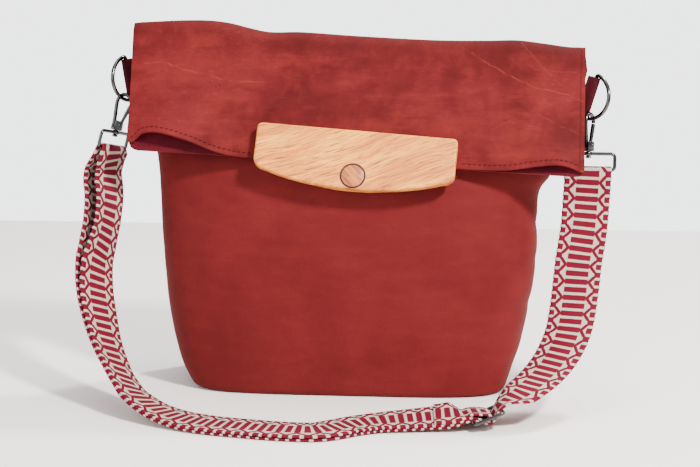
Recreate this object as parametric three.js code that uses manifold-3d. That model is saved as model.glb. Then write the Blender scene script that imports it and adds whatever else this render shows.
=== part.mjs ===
// A fold-over leather bag with an oak closure plate and a woven shoulder strap.
// Millimetres, +Z up. The bag stands on z = 0 with the middle of its base at the origin,
// +X runs to the right and the flap and the plate face -Y.

import * as THREE from 'three';
import { mergeVertices } from 'three/addons/utils/BufferGeometryUtils.js';
import Module from 'manifold-3d';

const wasm = await Module();
wasm.setup();

// Clearances
const GAP = 0.3; // between two pieces that touch

// Leather body
const LEATHER = 2; // thickness of the hide
const STAND_HEIGHT = 306; // table to the top of the fold, at the middle of the flap
const HALF_WIDTH = 194; // half of a panel laid flat, seam to seam
const BASE_HALF_DEPTH = 62; // half of the base, front to back
const TOP_SHIFT = 7.6; // the fold leans this far to the right of the base
const FOLD_DROP = THREE.MathUtils.degToRad(2.7); // the fold runs down to the right
const FLAP_LEAN = THREE.MathUtils.degToRad(25); // the flap lies back from upright
const FLAP_LENGTH = 107; // axis of the fold to the hem
const BASE_SEAM_BOW = 4; // the seam along the base bows back by this, so the middle is on leather
const FOLD_CORE = 2.5; // radius left inside the tightest ply at the fold
const FOLD_AIR = 1.8; // air between the two plies at the fold
const COLUMNS = 22; // faces across a panel

// Closure plate of oak
const PLATE_WIDTH = 170;
const PLATE_SIDE = 38; // height at its ends
const PLATE_MIDDLE = 55; // height at its middle
const PLATE_THICKNESS = 11;
const PLATE_CORNER = 5;
const PLATE_EDGE = 1.2; // rounding of the edges
const PLATE_DROP = 82; // axis of the fold to the top of the plate
const PLATE_ROLL = THREE.MathUtils.degToRad(1.6); // hangs lower on the right than the fold does
const PLATE_CENTRE = 11; // to the right of the base's middle
const SCOOP_DEPTH = 5.5; // finger scoops behind the lower edge
const SCOOP_HEIGHT = 16;
const BOSS_WIDTH = 34; // left whole between the two scoops
const PLUG_RADIUS = 10;
const PLUG_DROP = 40; // top of the plate to the middle of the plug
const PLUG_DEPTH = 4;

// Tabs and D rings
const TAB_HEIGHT = 33;
const RING_INNER = 35; // straight side of the ring, inside
const RING_REACH = 23; // straight side to the far side of the bow
const RING_WIRE = 1.7; // radius

// Snap hooks
const HOOK_WIRE = 1.7; // radius
const HOOK_RISE = 27.6; // middle of the block to the top of the bow
const BLOCK = { width: 9.4, height: 8.6, depth: 6.4 };
const SLOT = 2.6; // room for the lever's eye between the cheeks
const LEVER_WIDTH = 3.2;
const PIVOT = { u: 2.5, h: 0.9, radius: 0.8 };
const STUD_RADIUS = 1.5;
const STUD_HEAD = 2.7;

// Webbing, its end loops and its slider
const WEB_WIDTH = 40;
const WEB = 1.6; // thickness
const BAR = 1.5; // radius of the loops' and the slider's wire
const LOOP_HEIGHT = 14; // bar to bar, between their middles
const LOOP_CORNER = 3.2;
const LOOP_SLACK = 1; // beside the webbing, at each end of a bar
const SLIDER_HALF = 12.5; // middle bar to an end bar
const SLIDER_TILT = THREE.MathUtils.degToRad(22);
const SLIDER_TURN = THREE.MathUtils.degToRad(10);
const SLIDER_ROLL = THREE.MathUtils.degToRad(8); // its near side is raised
const STRAP_REACH = 180; // how far forward the strap lies on the table
const TAIL = 34; // sewn end beyond the slider's middle bar
const SEWN_RETURN = 34; // sewn end behind the right loop

const V = (x, y, z) => new THREE.Vector3(x, y, z);
const mix = (a, b, t) => a + (b - a) * t;

const finish = {
  leather: new THREE.MeshStandardMaterial({ color: 0x9c3a34, roughness: 0.75 }),
  tab: new THREE.MeshStandardMaterial({ color: 0x6e2229, roughness: 0.75 }),
  oak: new THREE.MeshStandardMaterial({ color: 0xe3b786, roughness: 0.5 }),
  plug: new THREE.MeshStandardMaterial({ color: 0xd69a70, roughness: 0.5 }),
  gunmetal: new THREE.MeshStandardMaterial({ color: 0x3b3a3c, roughness: 0.25, metalness: 1 }),
  webbing: new THREE.MeshStandardMaterial({ color: 0xc4465f, roughness: 0.9 }),
};

const bag = new THREE.Group();

function add(name, geometry, material) {
  const mesh = new THREE.Mesh(geometry, material);
  mesh.name = name;
  bag.add(mesh);
  return mesh;
}

// Closed meshes from rows of points

// Builds a closed mesh from vertices and quads (a, b, c, d), each cut into two triangles.
function quadMesh(vertices, quads) {
  const index = quads.flatMap(([a, b, c, d]) => [a, b, c, a, c, d]);
  const geometry = new THREE.BufferGeometry();
  geometry.setAttribute('position', new THREE.Float32BufferAttribute(vertices.flatMap((v) => v.toArray()), 3));
  geometry.setIndex(index);
  if (signedVolume(geometry) < 0) {
    geometry.setIndex(quads.flatMap(([a, b, c, d]) => [a, c, b, a, d, c]));
  }
  geometry.computeVertexNormals();
  return geometry;
}

function signedVolume(geometry) {
  const at = geometry.attributes.position;
  const corners = [V(0, 0, 0), V(0, 0, 0), V(0, 0, 0)];
  let total = 0;
  for (let i = 0; i < geometry.index.count; i += 3) {
    corners.forEach((corner, k) => corner.fromBufferAttribute(at, geometry.index.getX(i + k)));
    total += corners[0].dot(corners[1].clone().cross(corners[2])) / 6;
  }
  return total;
}

// Gives a grid of points (rows of columns) a wall of the given thickness on its inner side;
// trim may move a point of the inner side back behind a seam.
function sheet(grid, thickness, inward, trim) {
  const rows = grid.length;
  const columns = grid[0].length;
  const normal = (r, c) => {
    const down = grid[Math.min(r + 1, rows - 1)][c].clone().sub(grid[Math.max(r - 1, 0)][c]);
    const along = grid[r][Math.min(c + 1, columns - 1)].clone().sub(grid[r][Math.max(c - 1, 0)]);
    return down.cross(along).normalize().multiplyScalar(inward);
  };
  const outer = grid.flat();
  const inner = grid.flatMap((row, r) =>
    row.map((p, c) => trim(p.clone().addScaledVector(normal(r, c), thickness), r)),
  );
  const at = (r, c) => r * columns + c;
  const under = (r, c) => outer.length + at(r, c);
  const quads = [];
  for (let r = 0; r < rows - 1; r++) {
    for (let c = 0; c < columns - 1; c++) {
      quads.push([at(r, c), at(r, c + 1), at(r + 1, c + 1), at(r + 1, c)]);
      quads.push([under(r, c), under(r + 1, c), under(r + 1, c + 1), under(r, c + 1)]);
    }
    quads.push([at(r, 0), at(r + 1, 0), under(r + 1, 0), under(r, 0)]);
    quads.push([at(r, columns - 1), under(r, columns - 1), under(r + 1, columns - 1), at(r + 1, columns - 1)]);
  }
  for (let c = 0; c < columns - 1; c++) {
    quads.push([at(0, c), under(0, c), under(0, c + 1), at(0, c + 1)]);
    quads.push([at(rows - 1, c), at(rows - 1, c + 1), under(rows - 1, c + 1), under(rows - 1, c)]);
  }
  return quadMesh([...outer, ...inner], quads);
}

// Joins equal rings of points into one body, closed on itself or with flat ends.
function rings(list, closed) {
  const sides = list[0].length;
  const vertices = list.flat();
  const quads = [];
  const steps = closed ? list.length : list.length - 1;
  for (let i = 0; i < steps; i++) {
    const j = (i + 1) % list.length;
    for (let k = 0; k < sides; k++) {
      const m = (k + 1) % sides;
      quads.push([i * sides + k, i * sides + m, j * sides + m, j * sides + k]);
    }
  }
  if (!closed) {
    const last = (list.length - 1) * sides;
    for (let k = 1; k < sides - 1; k += 2) {
      const m = Math.min(k + 2, sides - 1);
      quads.push([0, m, k + 1, k]);
      quads.push([last, last + k, last + k + 1, last + m]);
    }
  }
  return { vertices, quads };
}

// A round wire along points that lie in one plane, whose normal is given.
function wire(points, radius, planeNormal, closed, sides = 8) {
  const count = points.length;
  const list = points.map((p, i) => {
    const next = closed ? points[(i + 1) % count] : points[Math.min(i + 1, count - 1)];
    const last = closed ? points[(i + count - 1) % count] : points[Math.max(i - 1, 0)];
    const inward = planeNormal.clone().cross(next.clone().sub(last).normalize());
    const into = next.clone().sub(p).normalize();
    const from = p.clone().sub(last).normalize();
    const mitre = into.lengthSq() && from.lengthSq() ? Math.sqrt((1 + into.dot(from)) / 2) : 1;
    return Array.from({ length: sides }, (_, k) => {
      const a = (2 * Math.PI * (k + 0.5)) / sides;
      return p
        .clone()
        .addScaledVector(inward, (radius * Math.cos(a)) / mitre)
        .addScaledVector(planeNormal, radius * Math.sin(a));
    });
  });
  const { vertices, quads } = rings(list, closed);
  return quadMesh(vertices, quads);
}

// Cuts and joins
function solid(geometry) {
  const bare = geometry.clone();
  bare.deleteAttribute('normal');
  bare.deleteAttribute('uv');
  const merged = mergeVertices(bare, 1e-4);
  const triVerts = [];
  for (let i = 0; i < merged.index.count; i += 3) {
    const [a, b, c] = merged.index.array.slice(i, i + 3);
    if (a !== b && b !== c && c !== a) triVerts.push(a, b, c); // a lathe's poles have empty faces
  }
  return new wasm.Manifold(
    new wasm.Mesh({
      numProp: 3,
      vertProperties: new Float32Array(merged.attributes.position.array),
      triVerts: new Uint32Array(triVerts),
    }),
  );
}

function geometryOf(body) {
  const mesh = body.getMesh();
  const geometry = new THREE.BufferGeometry();
  geometry.setAttribute('position', new THREE.BufferAttribute(new Float32Array(mesh.vertProperties), 3));
  geometry.setIndex(new THREE.BufferAttribute(new Uint32Array(mesh.triVerts), 1));
  geometry.computeVertexNormals();
  return geometry;
}

// A round bar from one point to another.
function bar(from, to, radius, sides = 12) {
  const axis = to.clone().sub(from);
  const geometry = new THREE.CylinderGeometry(radius, radius, axis.length(), sides);
  const turn = new THREE.Quaternion().setFromUnitVectors(V(0, 1, 0), axis.clone().normalize());
  geometry.applyQuaternion(turn);
  const middle = from.clone().add(to).multiplyScalar(0.5);
  return geometry.translate(middle.x, middle.y, middle.z);
}

// Reads a table with a first column that rises: every other column, smoothly, at one value.
function column(table, key, name) {
  const points = table.map((row) => [row[key], row[name]]);
  return (value) => {
    const last = points.length - 1;
    const i = Math.min(Math.max(points.findIndex(([k]) => k >= value) - 1, 0), last - 1);
    const j = value >= points[last][0] ? last - 1 : i;
    const slope = (k) => {
      const a = points[Math.max(k - 1, 0)];
      const b = points[Math.min(k + 1, last)];
      return (b[1] - a[1]) / (b[0] - a[0]);
    };
    const span = points[j + 1][0] - points[j][0];
    const t = Math.min(Math.max((value - points[j][0]) / span, 0), 1);
    const [h1, h2] = [t * t * (3 - 2 * t), t * t * t];
    return (
      points[j][1] * (1 - h1) +
      points[j + 1][1] * h1 +
      slope(j) * span * (t - 2 * t * t + h2) +
      slope(j + 1) * span * (h2 - t * t)
    );
  };
}

const table = (names, rows) => rows.map((row) => Object.fromEntries(names.map((name, i) => [name, row[i]])));

// The leather body
// Sections of the body by height: left, right are shares of HALF_WIDTH, front and back shares of
// BASE_HALF_DEPTH; squareness is the power of the section's curve and flatness opens its ends.
const SECTIONS = table(
  ['height', 'left', 'right', 'front', 'back', 'squareness', 'flatness'],
  [
    [0.0, 0.675, 0.68, 0.95, 0.9, 4.6, 0],
    [0.008, 0.7, 0.707, 1.0, 0.95, 4.6, 0],
    [0.03, 0.725, 0.722, 1.03, 0.98, 4.3, 0],
    [0.07, 0.758, 0.742, 1.055, 1.01, 4.0, 0],
    [0.145, 0.796, 0.782, 1.08, 1.02, 3.5, 0],
    [0.26, 0.825, 0.815, 1.08, 1.01, 3.1, 0],
    [0.4, 0.846, 0.84, 1.04, 0.96, 2.8, 0.02],
    [0.5, 0.854, 0.845, 0.98, 0.92, 2.6, 0.04],
    [0.575, 0.862, 0.858, 0.925, 0.87, 2.5, 0.08],
    [0.615, 0.868, 0.896, 0.88, 0.82, 2.4, 0.14],
    [0.67, 0.878, 0.918, 0.775, 0.735, 2.3, 0.25],
    [0.76, 0.902, 0.965, 0.555, 0.55, 2.3, 0.5],
    [0.85, 0.928, 1.022, 0.335, 0.35, 2.4, 0.75],
    [0.93, 0.952, 1.05, 0.14, 0.17, 2.6, 1],
  ],
);
const BODY_ROWS = [0, 0.008, 0.03, 0.07, 0.145, 0.26, 0.38, 0.5, 0.575, 0.615, 0.67, 0.76, 0.85, 0.93];
const section = Object.fromEntries(
  ['left', 'right', 'front', 'back', 'squareness', 'flatness'].map((name) => [name, column(SECTIONS, 'height', name)]),
);

// How far the fold rises above its straight line, across the bag: shares of HALF_WIDTH and of FLAP_LENGTH.
const FOLD_WAVE = table(
  ['across', 'rise'],
  [
    [-1, -0.004],
    [-0.93, 0.009],
    [-0.78, 0.036],
    [-0.66, 0.046],
    [-0.57, 0.034],
    [-0.48, 0.002],
    [-0.395, -0.02],
    [-0.26, -0.007],
    [0, -0.013],
    [0.35, -0.011],
    [0.58, 0.009],
    [0.7, 0.024],
    [0.82, 0.01],
    [0.93, -0.007],
    [1, -0.002],
  ],
);
// The hem of the flap's outer ply lifts at both ends of the mouth, which gapes there:
// shares of HALF_WIDTH, and of FLAP_LENGTH for the lift and the gape.
const MOUTH = table(
  ['across', 'lift', 'gape'],
  [
    [-1, 0.01, 0],
    [-0.955, 0.06, 0.05],
    [-0.86, 0.115, 0.11],
    [-0.73, 0.08, 0.09],
    [-0.6, 0.01, 0.035],
    [-0.5, -0.012, 0],
    [-0.4, -0.012, 0],
    [0, 0, 0],
    [0.45, 0, 0],
    [0.66, 0.005, 0.02],
    [0.8, 0.05, 0.055],
    [0.89, 0.078, 0.065],
    [0.96, 0.072, 0.03],
    [1, 0.03, 0],
  ],
);
const foldWave = column(FOLD_WAVE, 'across', 'rise');
const mouthLift = column(MOUTH, 'across', 'lift');
const mouthGape = column(MOUTH, 'across', 'gape');

const FOLD_RADIUS = FOLD_CORE + 2 * LEATHER + FOLD_AIR; // outside of the fold
const FOLD_HEIGHT = STAND_HEIGHT - FOLD_RADIUS; // axis of the fold, at the middle of the flap
const FOLD_SHARE = 0.93; // the wall's last section below the fold
const down = V(0, -Math.sin(FLAP_LEAN), -Math.cos(FLAP_LEAN)); // down the flap
const face = V(0, -Math.cos(FLAP_LEAN), Math.sin(FLAP_LEAN)); // out of the flap
// The front wall leans with the flap, so the fold lies behind its section at mid height.
const FOLD_BACK = -4.5;

const slopeAt = (x) => -Math.tan(FOLD_DROP) * (x - TOP_SHIFT);
const foldAxis = (across, wave = 1) => {
  const x = TOP_SHIFT + across * HALF_WIDTH;
  return V(x, FOLD_BACK, FOLD_HEIGHT + slopeAt(x) + wave * foldWave(across) * FLAP_LENGTH);
};

// Half of a section, seam to seam, as evenly spaced points; side is -1 for the front panel.
function sectionRow(share, side) {
  const left = section.left(share) * HALF_WIDTH;
  const right = section.right(share) * HALF_WIDTH;
  const depth = (side < 0 ? section.front(share) : section.back(share)) * BASE_HALF_DEPTH;
  const power = section.squareness(share);
  const flat = section.flatness(share);
  const seam = GAP / 2 + flat * (LEATHER + FOLD_AIR / 2);
  const curve = [];
  const STEPS = 160;
  for (let i = 0; i <= STEPS; i++) {
    const a = Math.PI * (1 - i / STEPS);
    const round = Math.sign(Math.cos(a)) * Math.abs(Math.cos(a)) ** (2 / power);
    const x = mix(round, -1 + (2 * i) / STEPS, flat);
    const bulge = mix(Math.sin(a) ** (2 / power), (1 - x * x) ** 0.7, flat);
    const z = STAND_HEIGHT * share + share * share * slopeAt(x * HALF_WIDTH);
    const wide = x < 0 ? left : right;
    curve.push(V(x * wide, side * (seam + Math.max(depth - seam, 0) * bulge) - seamBack(share), z));
  }
  return evenly(curve, COLUMNS);
}

// The side seams drift forward to the fold in the upper third.
const seamBack = (share) => 4 * THREE.MathUtils.smoothstep(share, 0.65, FOLD_SHARE);

// The same curve as count + 1 points at equal distances.
function evenly(curve, count) {
  const reach = [0];
  curve.slice(1).forEach((p, i) => reach.push(reach[i] + p.distanceTo(curve[i])));
  return Array.from({ length: count + 1 }, (_, k) => {
    const goal = (reach.at(-1) * k) / count;
    const i = Math.max(reach.slice(0, -1).findLastIndex((r) => r <= goal) + 1, 1);
    const t = (goal - reach[i - 1]) / (reach[i] - reach[i - 1]);
    return curve[i - 1].clone().lerp(curve[i], t);
  });
}

const acrossOf = (i) => -1 + (2 * i) / COLUMNS;

// The base: the wall's lowest section drawn in to the seam along its middle.
function baseRows(side) {
  const edge = sectionRow(0, side);
  const SHARES = [0, 0.45, 0.8];
  return SHARES.map((t) =>
    edge.map((p, i) => {
      const end = mix(edge[0].x, edge.at(-1).x, i / COLUMNS);
      const seam = (side * GAP) / 2 + BASE_SEAM_BOW * (1 - acrossOf(i) ** 2);
      return V(mix(end, p.x, t), mix(seam, p.y, t), 0);
    }),
  );
}

// Rows over the fold, from one angle about its axis to another; 0 points back, 90 degrees up.
function foldRows(radius, from, to, steps) {
  return Array.from({ length: steps + 1 }, (_, k) => {
    const a = mix(from, to, k / steps);
    return Array.from({ length: COLUMNS + 1 }, (_, i) =>
      foldAxis(acrossOf(i)).add(V(0, radius * Math.cos(a), radius * Math.sin(a))),
    );
  });
}

const PLY_REST = 0.6; // how far the flap's rear ply stands off the fold's plane, lower down
const PLY_AIR = 0.8; // air between the plies there
const settle = (s) => THREE.MathUtils.smoothstep(s, 0, 45);
const rearPly = (s) => mix(FOLD_CORE, PLY_REST, settle(s));
const outerPly = (s) => rearPly(s) + 2 * LEATHER + mix(FOLD_AIR, PLY_AIR, settle(s));
const FLAP_ROWS = [0.14, 0.32, 0.54, 0.74, 0.88, 1];
const waveLeft = (share) => (1 - share) ** 3; // the fold's wave dies out down the flap
const LEFT_ROUND = 0.06; // the rear ply's hem is rounded at its left corner

const rearFlapRows = () =>
  FLAP_ROWS.map((share) =>
    Array.from({ length: COLUMNS + 1 }, (_, i) => {
      const across = acrossOf(i);
      const corner = LEFT_ROUND * THREE.MathUtils.smoothstep(-across, 0.93, 1);
      const s = FLAP_LENGTH * share * (1 - corner);
      return foldAxis(across, waveLeft(share)).addScaledVector(down, s).addScaledVector(face, rearPly(s));
    }),
  );

const outerFlapRows = () =>
  FLAP_ROWS.map((share) =>
    Array.from({ length: COLUMNS + 1 }, (_, i) => {
      const across = acrossOf(i);
      const s = FLAP_LENGTH * share * (1 - mouthLift(across));
      const gape = FLAP_LENGTH * mouthGape(across) * share ** 3;
      return foldAxis(across, waveLeft(share)).addScaledVector(down, s).addScaledVector(face, outerPly(s) + gape);
    }),
  );

const FRONT_TURN = Math.PI / 2 + FLAP_LEAN; // the flap's face, about the fold's axis

const frontPanel = [
  ...baseRows(-1),
  ...BODY_ROWS.map((share) => sectionRow(share, -1)),
  ...foldRows(FOLD_CORE, FRONT_TURN - Math.PI, FRONT_TURN, 5),
  ...rearFlapRows(),
];
const backPanel = [
  ...baseRows(1),
  ...BODY_ROWS.map((share) => sectionRow(share, 1)),
  ...foldRows(FOLD_RADIUS, FLAP_LEAN, FRONT_TURN, 6),
  ...outerFlapRows(),
];

// In the walls neither panel crosses the plane of the side seams.
const ownSide = (side) => (point, row) => {
  const share = BODY_ROWS[row - baseRows(side).length];
  if (share !== undefined) {
    const seam = (side * GAP) / 2 - seamBack(share);
    point.y = side < 0 ? Math.min(point.y, seam) : Math.max(point.y, seam);
  }
  return point;
};
add('front_panel', sheet(frontPanel, LEATHER, 1, ownSide(-1)), finish.leather);
add('back_panel', sheet(backPanel, LEATHER, -1, ownSide(1)), finish.leather);

// The closure plate, flat against the flap's outer ply and hanging past its hem
const plateFrame = new THREE.Group();
{
  const axis = foldAxis((PLATE_CENTRE - TOP_SHIFT) / HALF_WIDTH, 0);
  const back = outerPly(FLAP_LENGTH) + GAP;
  const top = axis.addScaledVector(down, PLATE_DROP).addScaledVector(face, back);
  const along = V(1, 0, -Math.tan(FOLD_DROP)).normalize();
  const out = down.clone().cross(along).normalize();
  const right = along.applyAxisAngle(out, -PLATE_ROLL);
  plateFrame.matrix.makeBasis(right, out.clone().cross(right), out).setPosition(top);
  plateFrame.matrix.decompose(plateFrame.position, plateFrame.quaternion, plateFrame.scale);
}
bag.add(plateFrame);

function plateGeometry() {
  const half = PLATE_WIDTH / 2;
  const r = PLATE_CORNER;
  const sag = PLATE_MIDDLE - PLATE_SIDE;
  const outline = new THREE.Shape();
  outline.moveTo(-half + r, 0);
  outline.quadraticCurveTo(-half, 0, -half, -r);
  outline.lineTo(-half, -PLATE_SIDE + r * 1.4);
  outline.quadraticCurveTo(-half, -PLATE_SIDE, -half + 2.2 * r, -PLATE_SIDE - sag * 0.14);
  outline.bezierCurveTo(-half * 0.45, -PLATE_MIDDLE, half * 0.45, -PLATE_MIDDLE, half - 2.2 * r, -PLATE_SIDE - sag * 0.14);
  outline.quadraticCurveTo(half, -PLATE_SIDE, half, -PLATE_SIDE + r * 1.4);
  outline.lineTo(half, -r);
  outline.quadraticCurveTo(half, 0, half - r, 0);
  const thick = new THREE.ExtrudeGeometry(inset(outline), {
    depth: PLATE_THICKNESS - 2 * PLATE_EDGE,
    bevelSize: PLATE_EDGE,
    bevelThickness: PLATE_EDGE,
    bevelSegments: 2,
    curveSegments: 5,
  });
  return thick.translate(0, 0, PLATE_EDGE);
}

// The bevel grows the outline, so the shape is drawn in by as much first.
function inset(shape) {
  const points = shape.getPoints(5);
  const drawn = points.map(
    (p) => new THREE.Vector2(p.x * (1 - (2 * PLATE_EDGE) / PLATE_WIDTH), p.y * (1 - (2 * PLATE_EDGE) / PLATE_MIDDLE) - PLATE_EDGE),
  );
  return new THREE.Shape(drawn);
}

// One finger scoop: a flattened round cutter along the back of the lower edge.
function scoop(side) {
  const length = PLATE_WIDTH / 2 - BOSS_WIDTH / 2;
  const cutter = new THREE.SphereGeometry(1, 20, 10);
  cutter.scale(length * 0.56, SCOOP_HEIGHT, SCOOP_DEPTH);
  const middle = side * (BOSS_WIDTH / 2 + length / 2);
  return cutter.translate(middle, -PLATE_SIDE - (PLATE_MIDDLE - PLATE_SIDE) * 0.62, 0);
}

let plate = solid(plateGeometry());
plate = plate.subtract(solid(scoop(-1))).subtract(solid(scoop(1)));
const plugSeat = V(0, -PLUG_DROP, PLATE_THICKNESS - PLUG_DEPTH);
const plugHole = bar(plugSeat, plugSeat.clone().add(V(0, 0, 2 * PLUG_DEPTH)), PLUG_RADIUS + GAP, 28);
plate = plate.subtract(solid(plugHole));
const plateMesh = add('closure_plate', geometryOf(plate), finish.oak);
plateFrame.add(plateMesh);

const plugProfile = [
  [0, GAP],
  [PLUG_RADIUS, GAP],
  [PLUG_RADIUS, PLUG_DEPTH - 0.5],
  [PLUG_RADIUS - 0.5, PLUG_DEPTH],
  [0, PLUG_DEPTH + 0.2],
].map(([r, z]) => new THREE.Vector2(r, z));
const plug = new THREE.LatheGeometry(plugProfile, 28).rotateX(Math.PI / 2);
plug.translate(plugSeat.x, plugSeat.y, plugSeat.z);
plateFrame.add(add('closure_plug', plug, finish.plug));

// Tabs, D rings and snap hooks at the two sides
// Each side: where the ring's bar stands, and how the ring, the hook and the loop hang, in degrees:
// turn is about the vertical, sag from the horizontal and lean from upright.
const SIDES = [
  {
    name: 'left',
    side: -1,
    barReach: 13, // from the body's side seam out to the middle of the ring's bar
    barHeight: 0.87, // share of STAND_HEIGHT
    barLean: 8.4,
    ringTurn: 23, // from straight forward towards the outside
    ringSag: 16,
    hang: -62, // where the hook hangs on the ring's bow, 0 is its middle
    hookUp: V(0.235, 0.14, 0.96),
    gateTurn: 0,
    loopAlong: V(-0.3, -0.9, 0.3), // along the loop's lower bar, towards the viewer
  },
  {
    name: 'right',
    side: 1,
    barReach: 7.8,
    barHeight: 0.832,
    barLean: 16.7,
    ringTurn: 39,
    ringSag: 10,
    hang: -70,
    hookUp: V(0.0, 0.12, 0.99),
    gateTurn: 57,
    loopAlong: V(-1, 0, -0.04),
  },
];

const rad = THREE.MathUtils.degToRad;

// How far out the body's side seam stands at one height.
function bodySide(side, height) {
  const out = (share) => side * HALF_WIDTH * (side < 0 ? section.left(share) : section.right(share));
  let share = height / STAND_HEIGHT;
  for (let k = 0; k < 4; k++) share = (height - share * share * slopeAt(out(share))) / STAND_HEIGHT;
  return out(share);
}

// Leather doubled round the ring's bar: its section across the bar, towards the body.
function tabGeometry(length) {
  const inner = RING_WIRE + GAP;
  const outer = inner + LEATHER;
  const slit = GAP / 2;
  const neck = 2.6 * RING_WIRE + inner;
  const round = (r, from, to, n) =>
    Array.from({ length: n + 1 }, (_, k) => {
      const a = mix(rad(from), rad(to), k / n);
      return new THREE.Vector2(r * Math.cos(a), r * Math.sin(a));
    });
  const outline = [
    new THREE.Vector2(length, slit + LEATHER),
    new THREE.Vector2(neck, slit + LEATHER),
    ...round(outer, 62, 298, 8),
    new THREE.Vector2(neck, -slit - LEATHER),
    new THREE.Vector2(length, -slit - LEATHER),
    new THREE.Vector2(length, -slit),
    new THREE.Vector2(neck, -slit),
    ...round(inner, 305, 55, 8),
    new THREE.Vector2(neck, slit),
    new THREE.Vector2(length, slit),
  ];
  return new THREE.ExtrudeGeometry(new THREE.Shape(outline), { depth: TAB_HEIGHT, bevelEnabled: false }).translate(
    0,
    0,
    -TAB_HEIGHT / 2,
  );
}

// Points of the ring's wire in its own plane: out from the bar, and along it.
function ringOutline() {
  const half = RING_INNER / 2 + RING_WIRE;
  const bow = Array.from({ length: 13 }, (_, k) => {
    const a = rad(mix(-82, 82, k / 12));
    return [RING_REACH * Math.cos(a), half * Math.sin(a)];
  });
  return [...bow, [0.6, half * 0.965], [0, half * 0.88], [0, -half * 0.88], [0.6, -half * 0.965]];
}

// The hook's wire in its own plane: u towards the lever, h up from the middle of the block.
const HOOK_LINE = table(
  ['u', 'h'],
  [
    [-0.115, 0.05],
    [-0.14, 0.3],
    [-0.172, 0.58],
    [-0.178, 0.77],
    [-0.12, 0.92],
    [0.02, 1],
    [0.16, 0.955],
    [0.25, 0.84],
    [0.27, 0.715],
  ],
);
const HANG_POINT = { u: 0.8, h: HOOK_RISE - HOOK_WIRE - RING_WIRE - 3 * GAP };

function hookGeometry() {
  const line = HOOK_LINE.map(({ u, h }) => V(u * HOOK_RISE, 0, h * HOOK_RISE));
  const bow = wire(line, HOOK_WIRE, V(0, 1, 0), false);
  const block = new THREE.BoxGeometry(BLOCK.width, BLOCK.depth, BLOCK.height, 1, 1, 1);
  const slot = new THREE.BoxGeometry(BLOCK.width, SLOT + 2 * GAP, BLOCK.height);
  slot.translate(BLOCK.width / 2 - 1.2, 0, PIVOT.h + BLOCK.height / 2 - 2.4);
  const pin = bar(V(PIVOT.u, -BLOCK.depth / 2 - 0.3, PIVOT.h), V(PIVOT.u, BLOCK.depth / 2 + 0.3, PIVOT.h), PIVOT.radius, 8);
  const head = [
    [0, STUD_TOP - STUD_LENGTH],
    [STUD_HEAD * 0.7, STUD_TOP - STUD_LENGTH],
    [STUD_HEAD, STUD_TOP - STUD_LENGTH + 0.8],
    [STUD_HEAD, STUD_TOP - STUD_LENGTH + 1.7],
    [STUD_RADIUS, STUD_TOP - STUD_LENGTH + 2.1],
    [STUD_RADIUS, STUD_TOP],
    [0, STUD_TOP],
  ].map(([r, h]) => new THREE.Vector2(r, h));
  const stud = new THREE.LatheGeometry(head, 12).rotateX(Math.PI / 2);
  return geometryOf(
    solid(block).subtract(solid(slot)).add(solid(bow)).add(solid(pin)).add(solid(stud)),
  );
}
const BOSS_HEIGHT = 2 * BAR + 0.4; // the loop's eye round the stud
const BOSS_TOP = -BLOCK.height / 2 - GAP; // below the block
const STUD_TOP = -BLOCK.height / 2 + 1; // the stud starts inside the block
const STUD_LENGTH = 1 + GAP + BOSS_HEIGHT + GAP + 2.1;

// The lever, from its eye on the pin to just under the hook's nose.
function leverGeometry() {
  const nose = HOOK_LINE.at(-1);
  const tip = new THREE.Vector2(nose.u * HOOK_RISE - 0.2, nose.h * HOOK_RISE - 2 * GAP);
  const root = new THREE.Vector2(PIVOT.u, PIVOT.h);
  const along = tip.clone().sub(root).normalize();
  const side = new THREE.Vector2(along.y, -along.x);
  const at = (s, w) => root.clone().addScaledVector(along, s).addScaledVector(side, w);
  const length = tip.distanceTo(root);
  const half = LEVER_WIDTH / 2;
  const eye = Array.from({ length: 7 }, (_, k) => {
    const a = mix(Math.PI, 2 * Math.PI, k / 6);
    return at(1.9 * Math.sin(a), -1.9 * Math.cos(a));
  });
  const outline = new THREE.Shape([
    ...eye,
    at(4, -half * 0.8),
    at(length * 0.6, -half),
    at(length - 0.6, -half),
    at(length, -half * 0.5),
    at(length, half * 0.5),
    at(length - 0.6, half),
    at(length * 0.6, half),
    at(4, half * 0.8),
  ]);
  const hole = Array.from({ length: 8 }, (_, k) => {
    const a = (2 * Math.PI * (k + 0.5)) / 8;
    return new THREE.Vector2(PIVOT.radius + GAP, 0).rotateAround(new THREE.Vector2(0, 0), a).add(root);
  });
  outline.holes.push(new THREE.Path(hole));
  const flat = new THREE.ExtrudeGeometry(outline, { depth: SLOT, bevelEnabled: false });
  return flat.translate(0, 0, -SLOT / 2).rotateX(Math.PI / 2);
}

// A loop for the webbing: a rounded frame of wire with an eye for the stud in its upper bar.
// Its own frame has x along the bars and z up, with the stud's axis at the origin.
const LOOP_HALF = WEB_WIDTH / 2 + LOOP_SLACK + BAR;
const LOOP_TOP = BOSS_TOP - BOSS_HEIGHT / 2;
function loopGeometry() {
  const r = LOOP_CORNER;
  const corner = (x, z, from) =>
    Array.from({ length: 4 }, (_, k) => {
      const a = rad(from + 30 * k);
      return V(x + r * Math.cos(a), 0, z + r * Math.sin(a));
    });
  const line = [
    ...corner(LOOP_HALF - r, -r, 0),
    ...corner(-LOOP_HALF + r, -r, 90),
    ...corner(-LOOP_HALF + r, -LOOP_HEIGHT + r, 180),
    ...corner(LOOP_HALF - r, -LOOP_HEIGHT + r, 270),
  ];
  const frame = solid(wire(line, BAR, V(0, 1, 0), true));
  const eye = solid(bar(V(0, 0, -BOSS_HEIGHT / 2), V(0, 0, BOSS_HEIGHT / 2), STUD_RADIUS + GAP + 1.4, 12));
  const hole = solid(bar(V(0, 0, -BOSS_HEIGHT), V(0, 0, BOSS_HEIGHT), STUD_RADIUS + GAP, 12));
  return geometryOf(frame.add(eye).subtract(hole));
}

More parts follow.
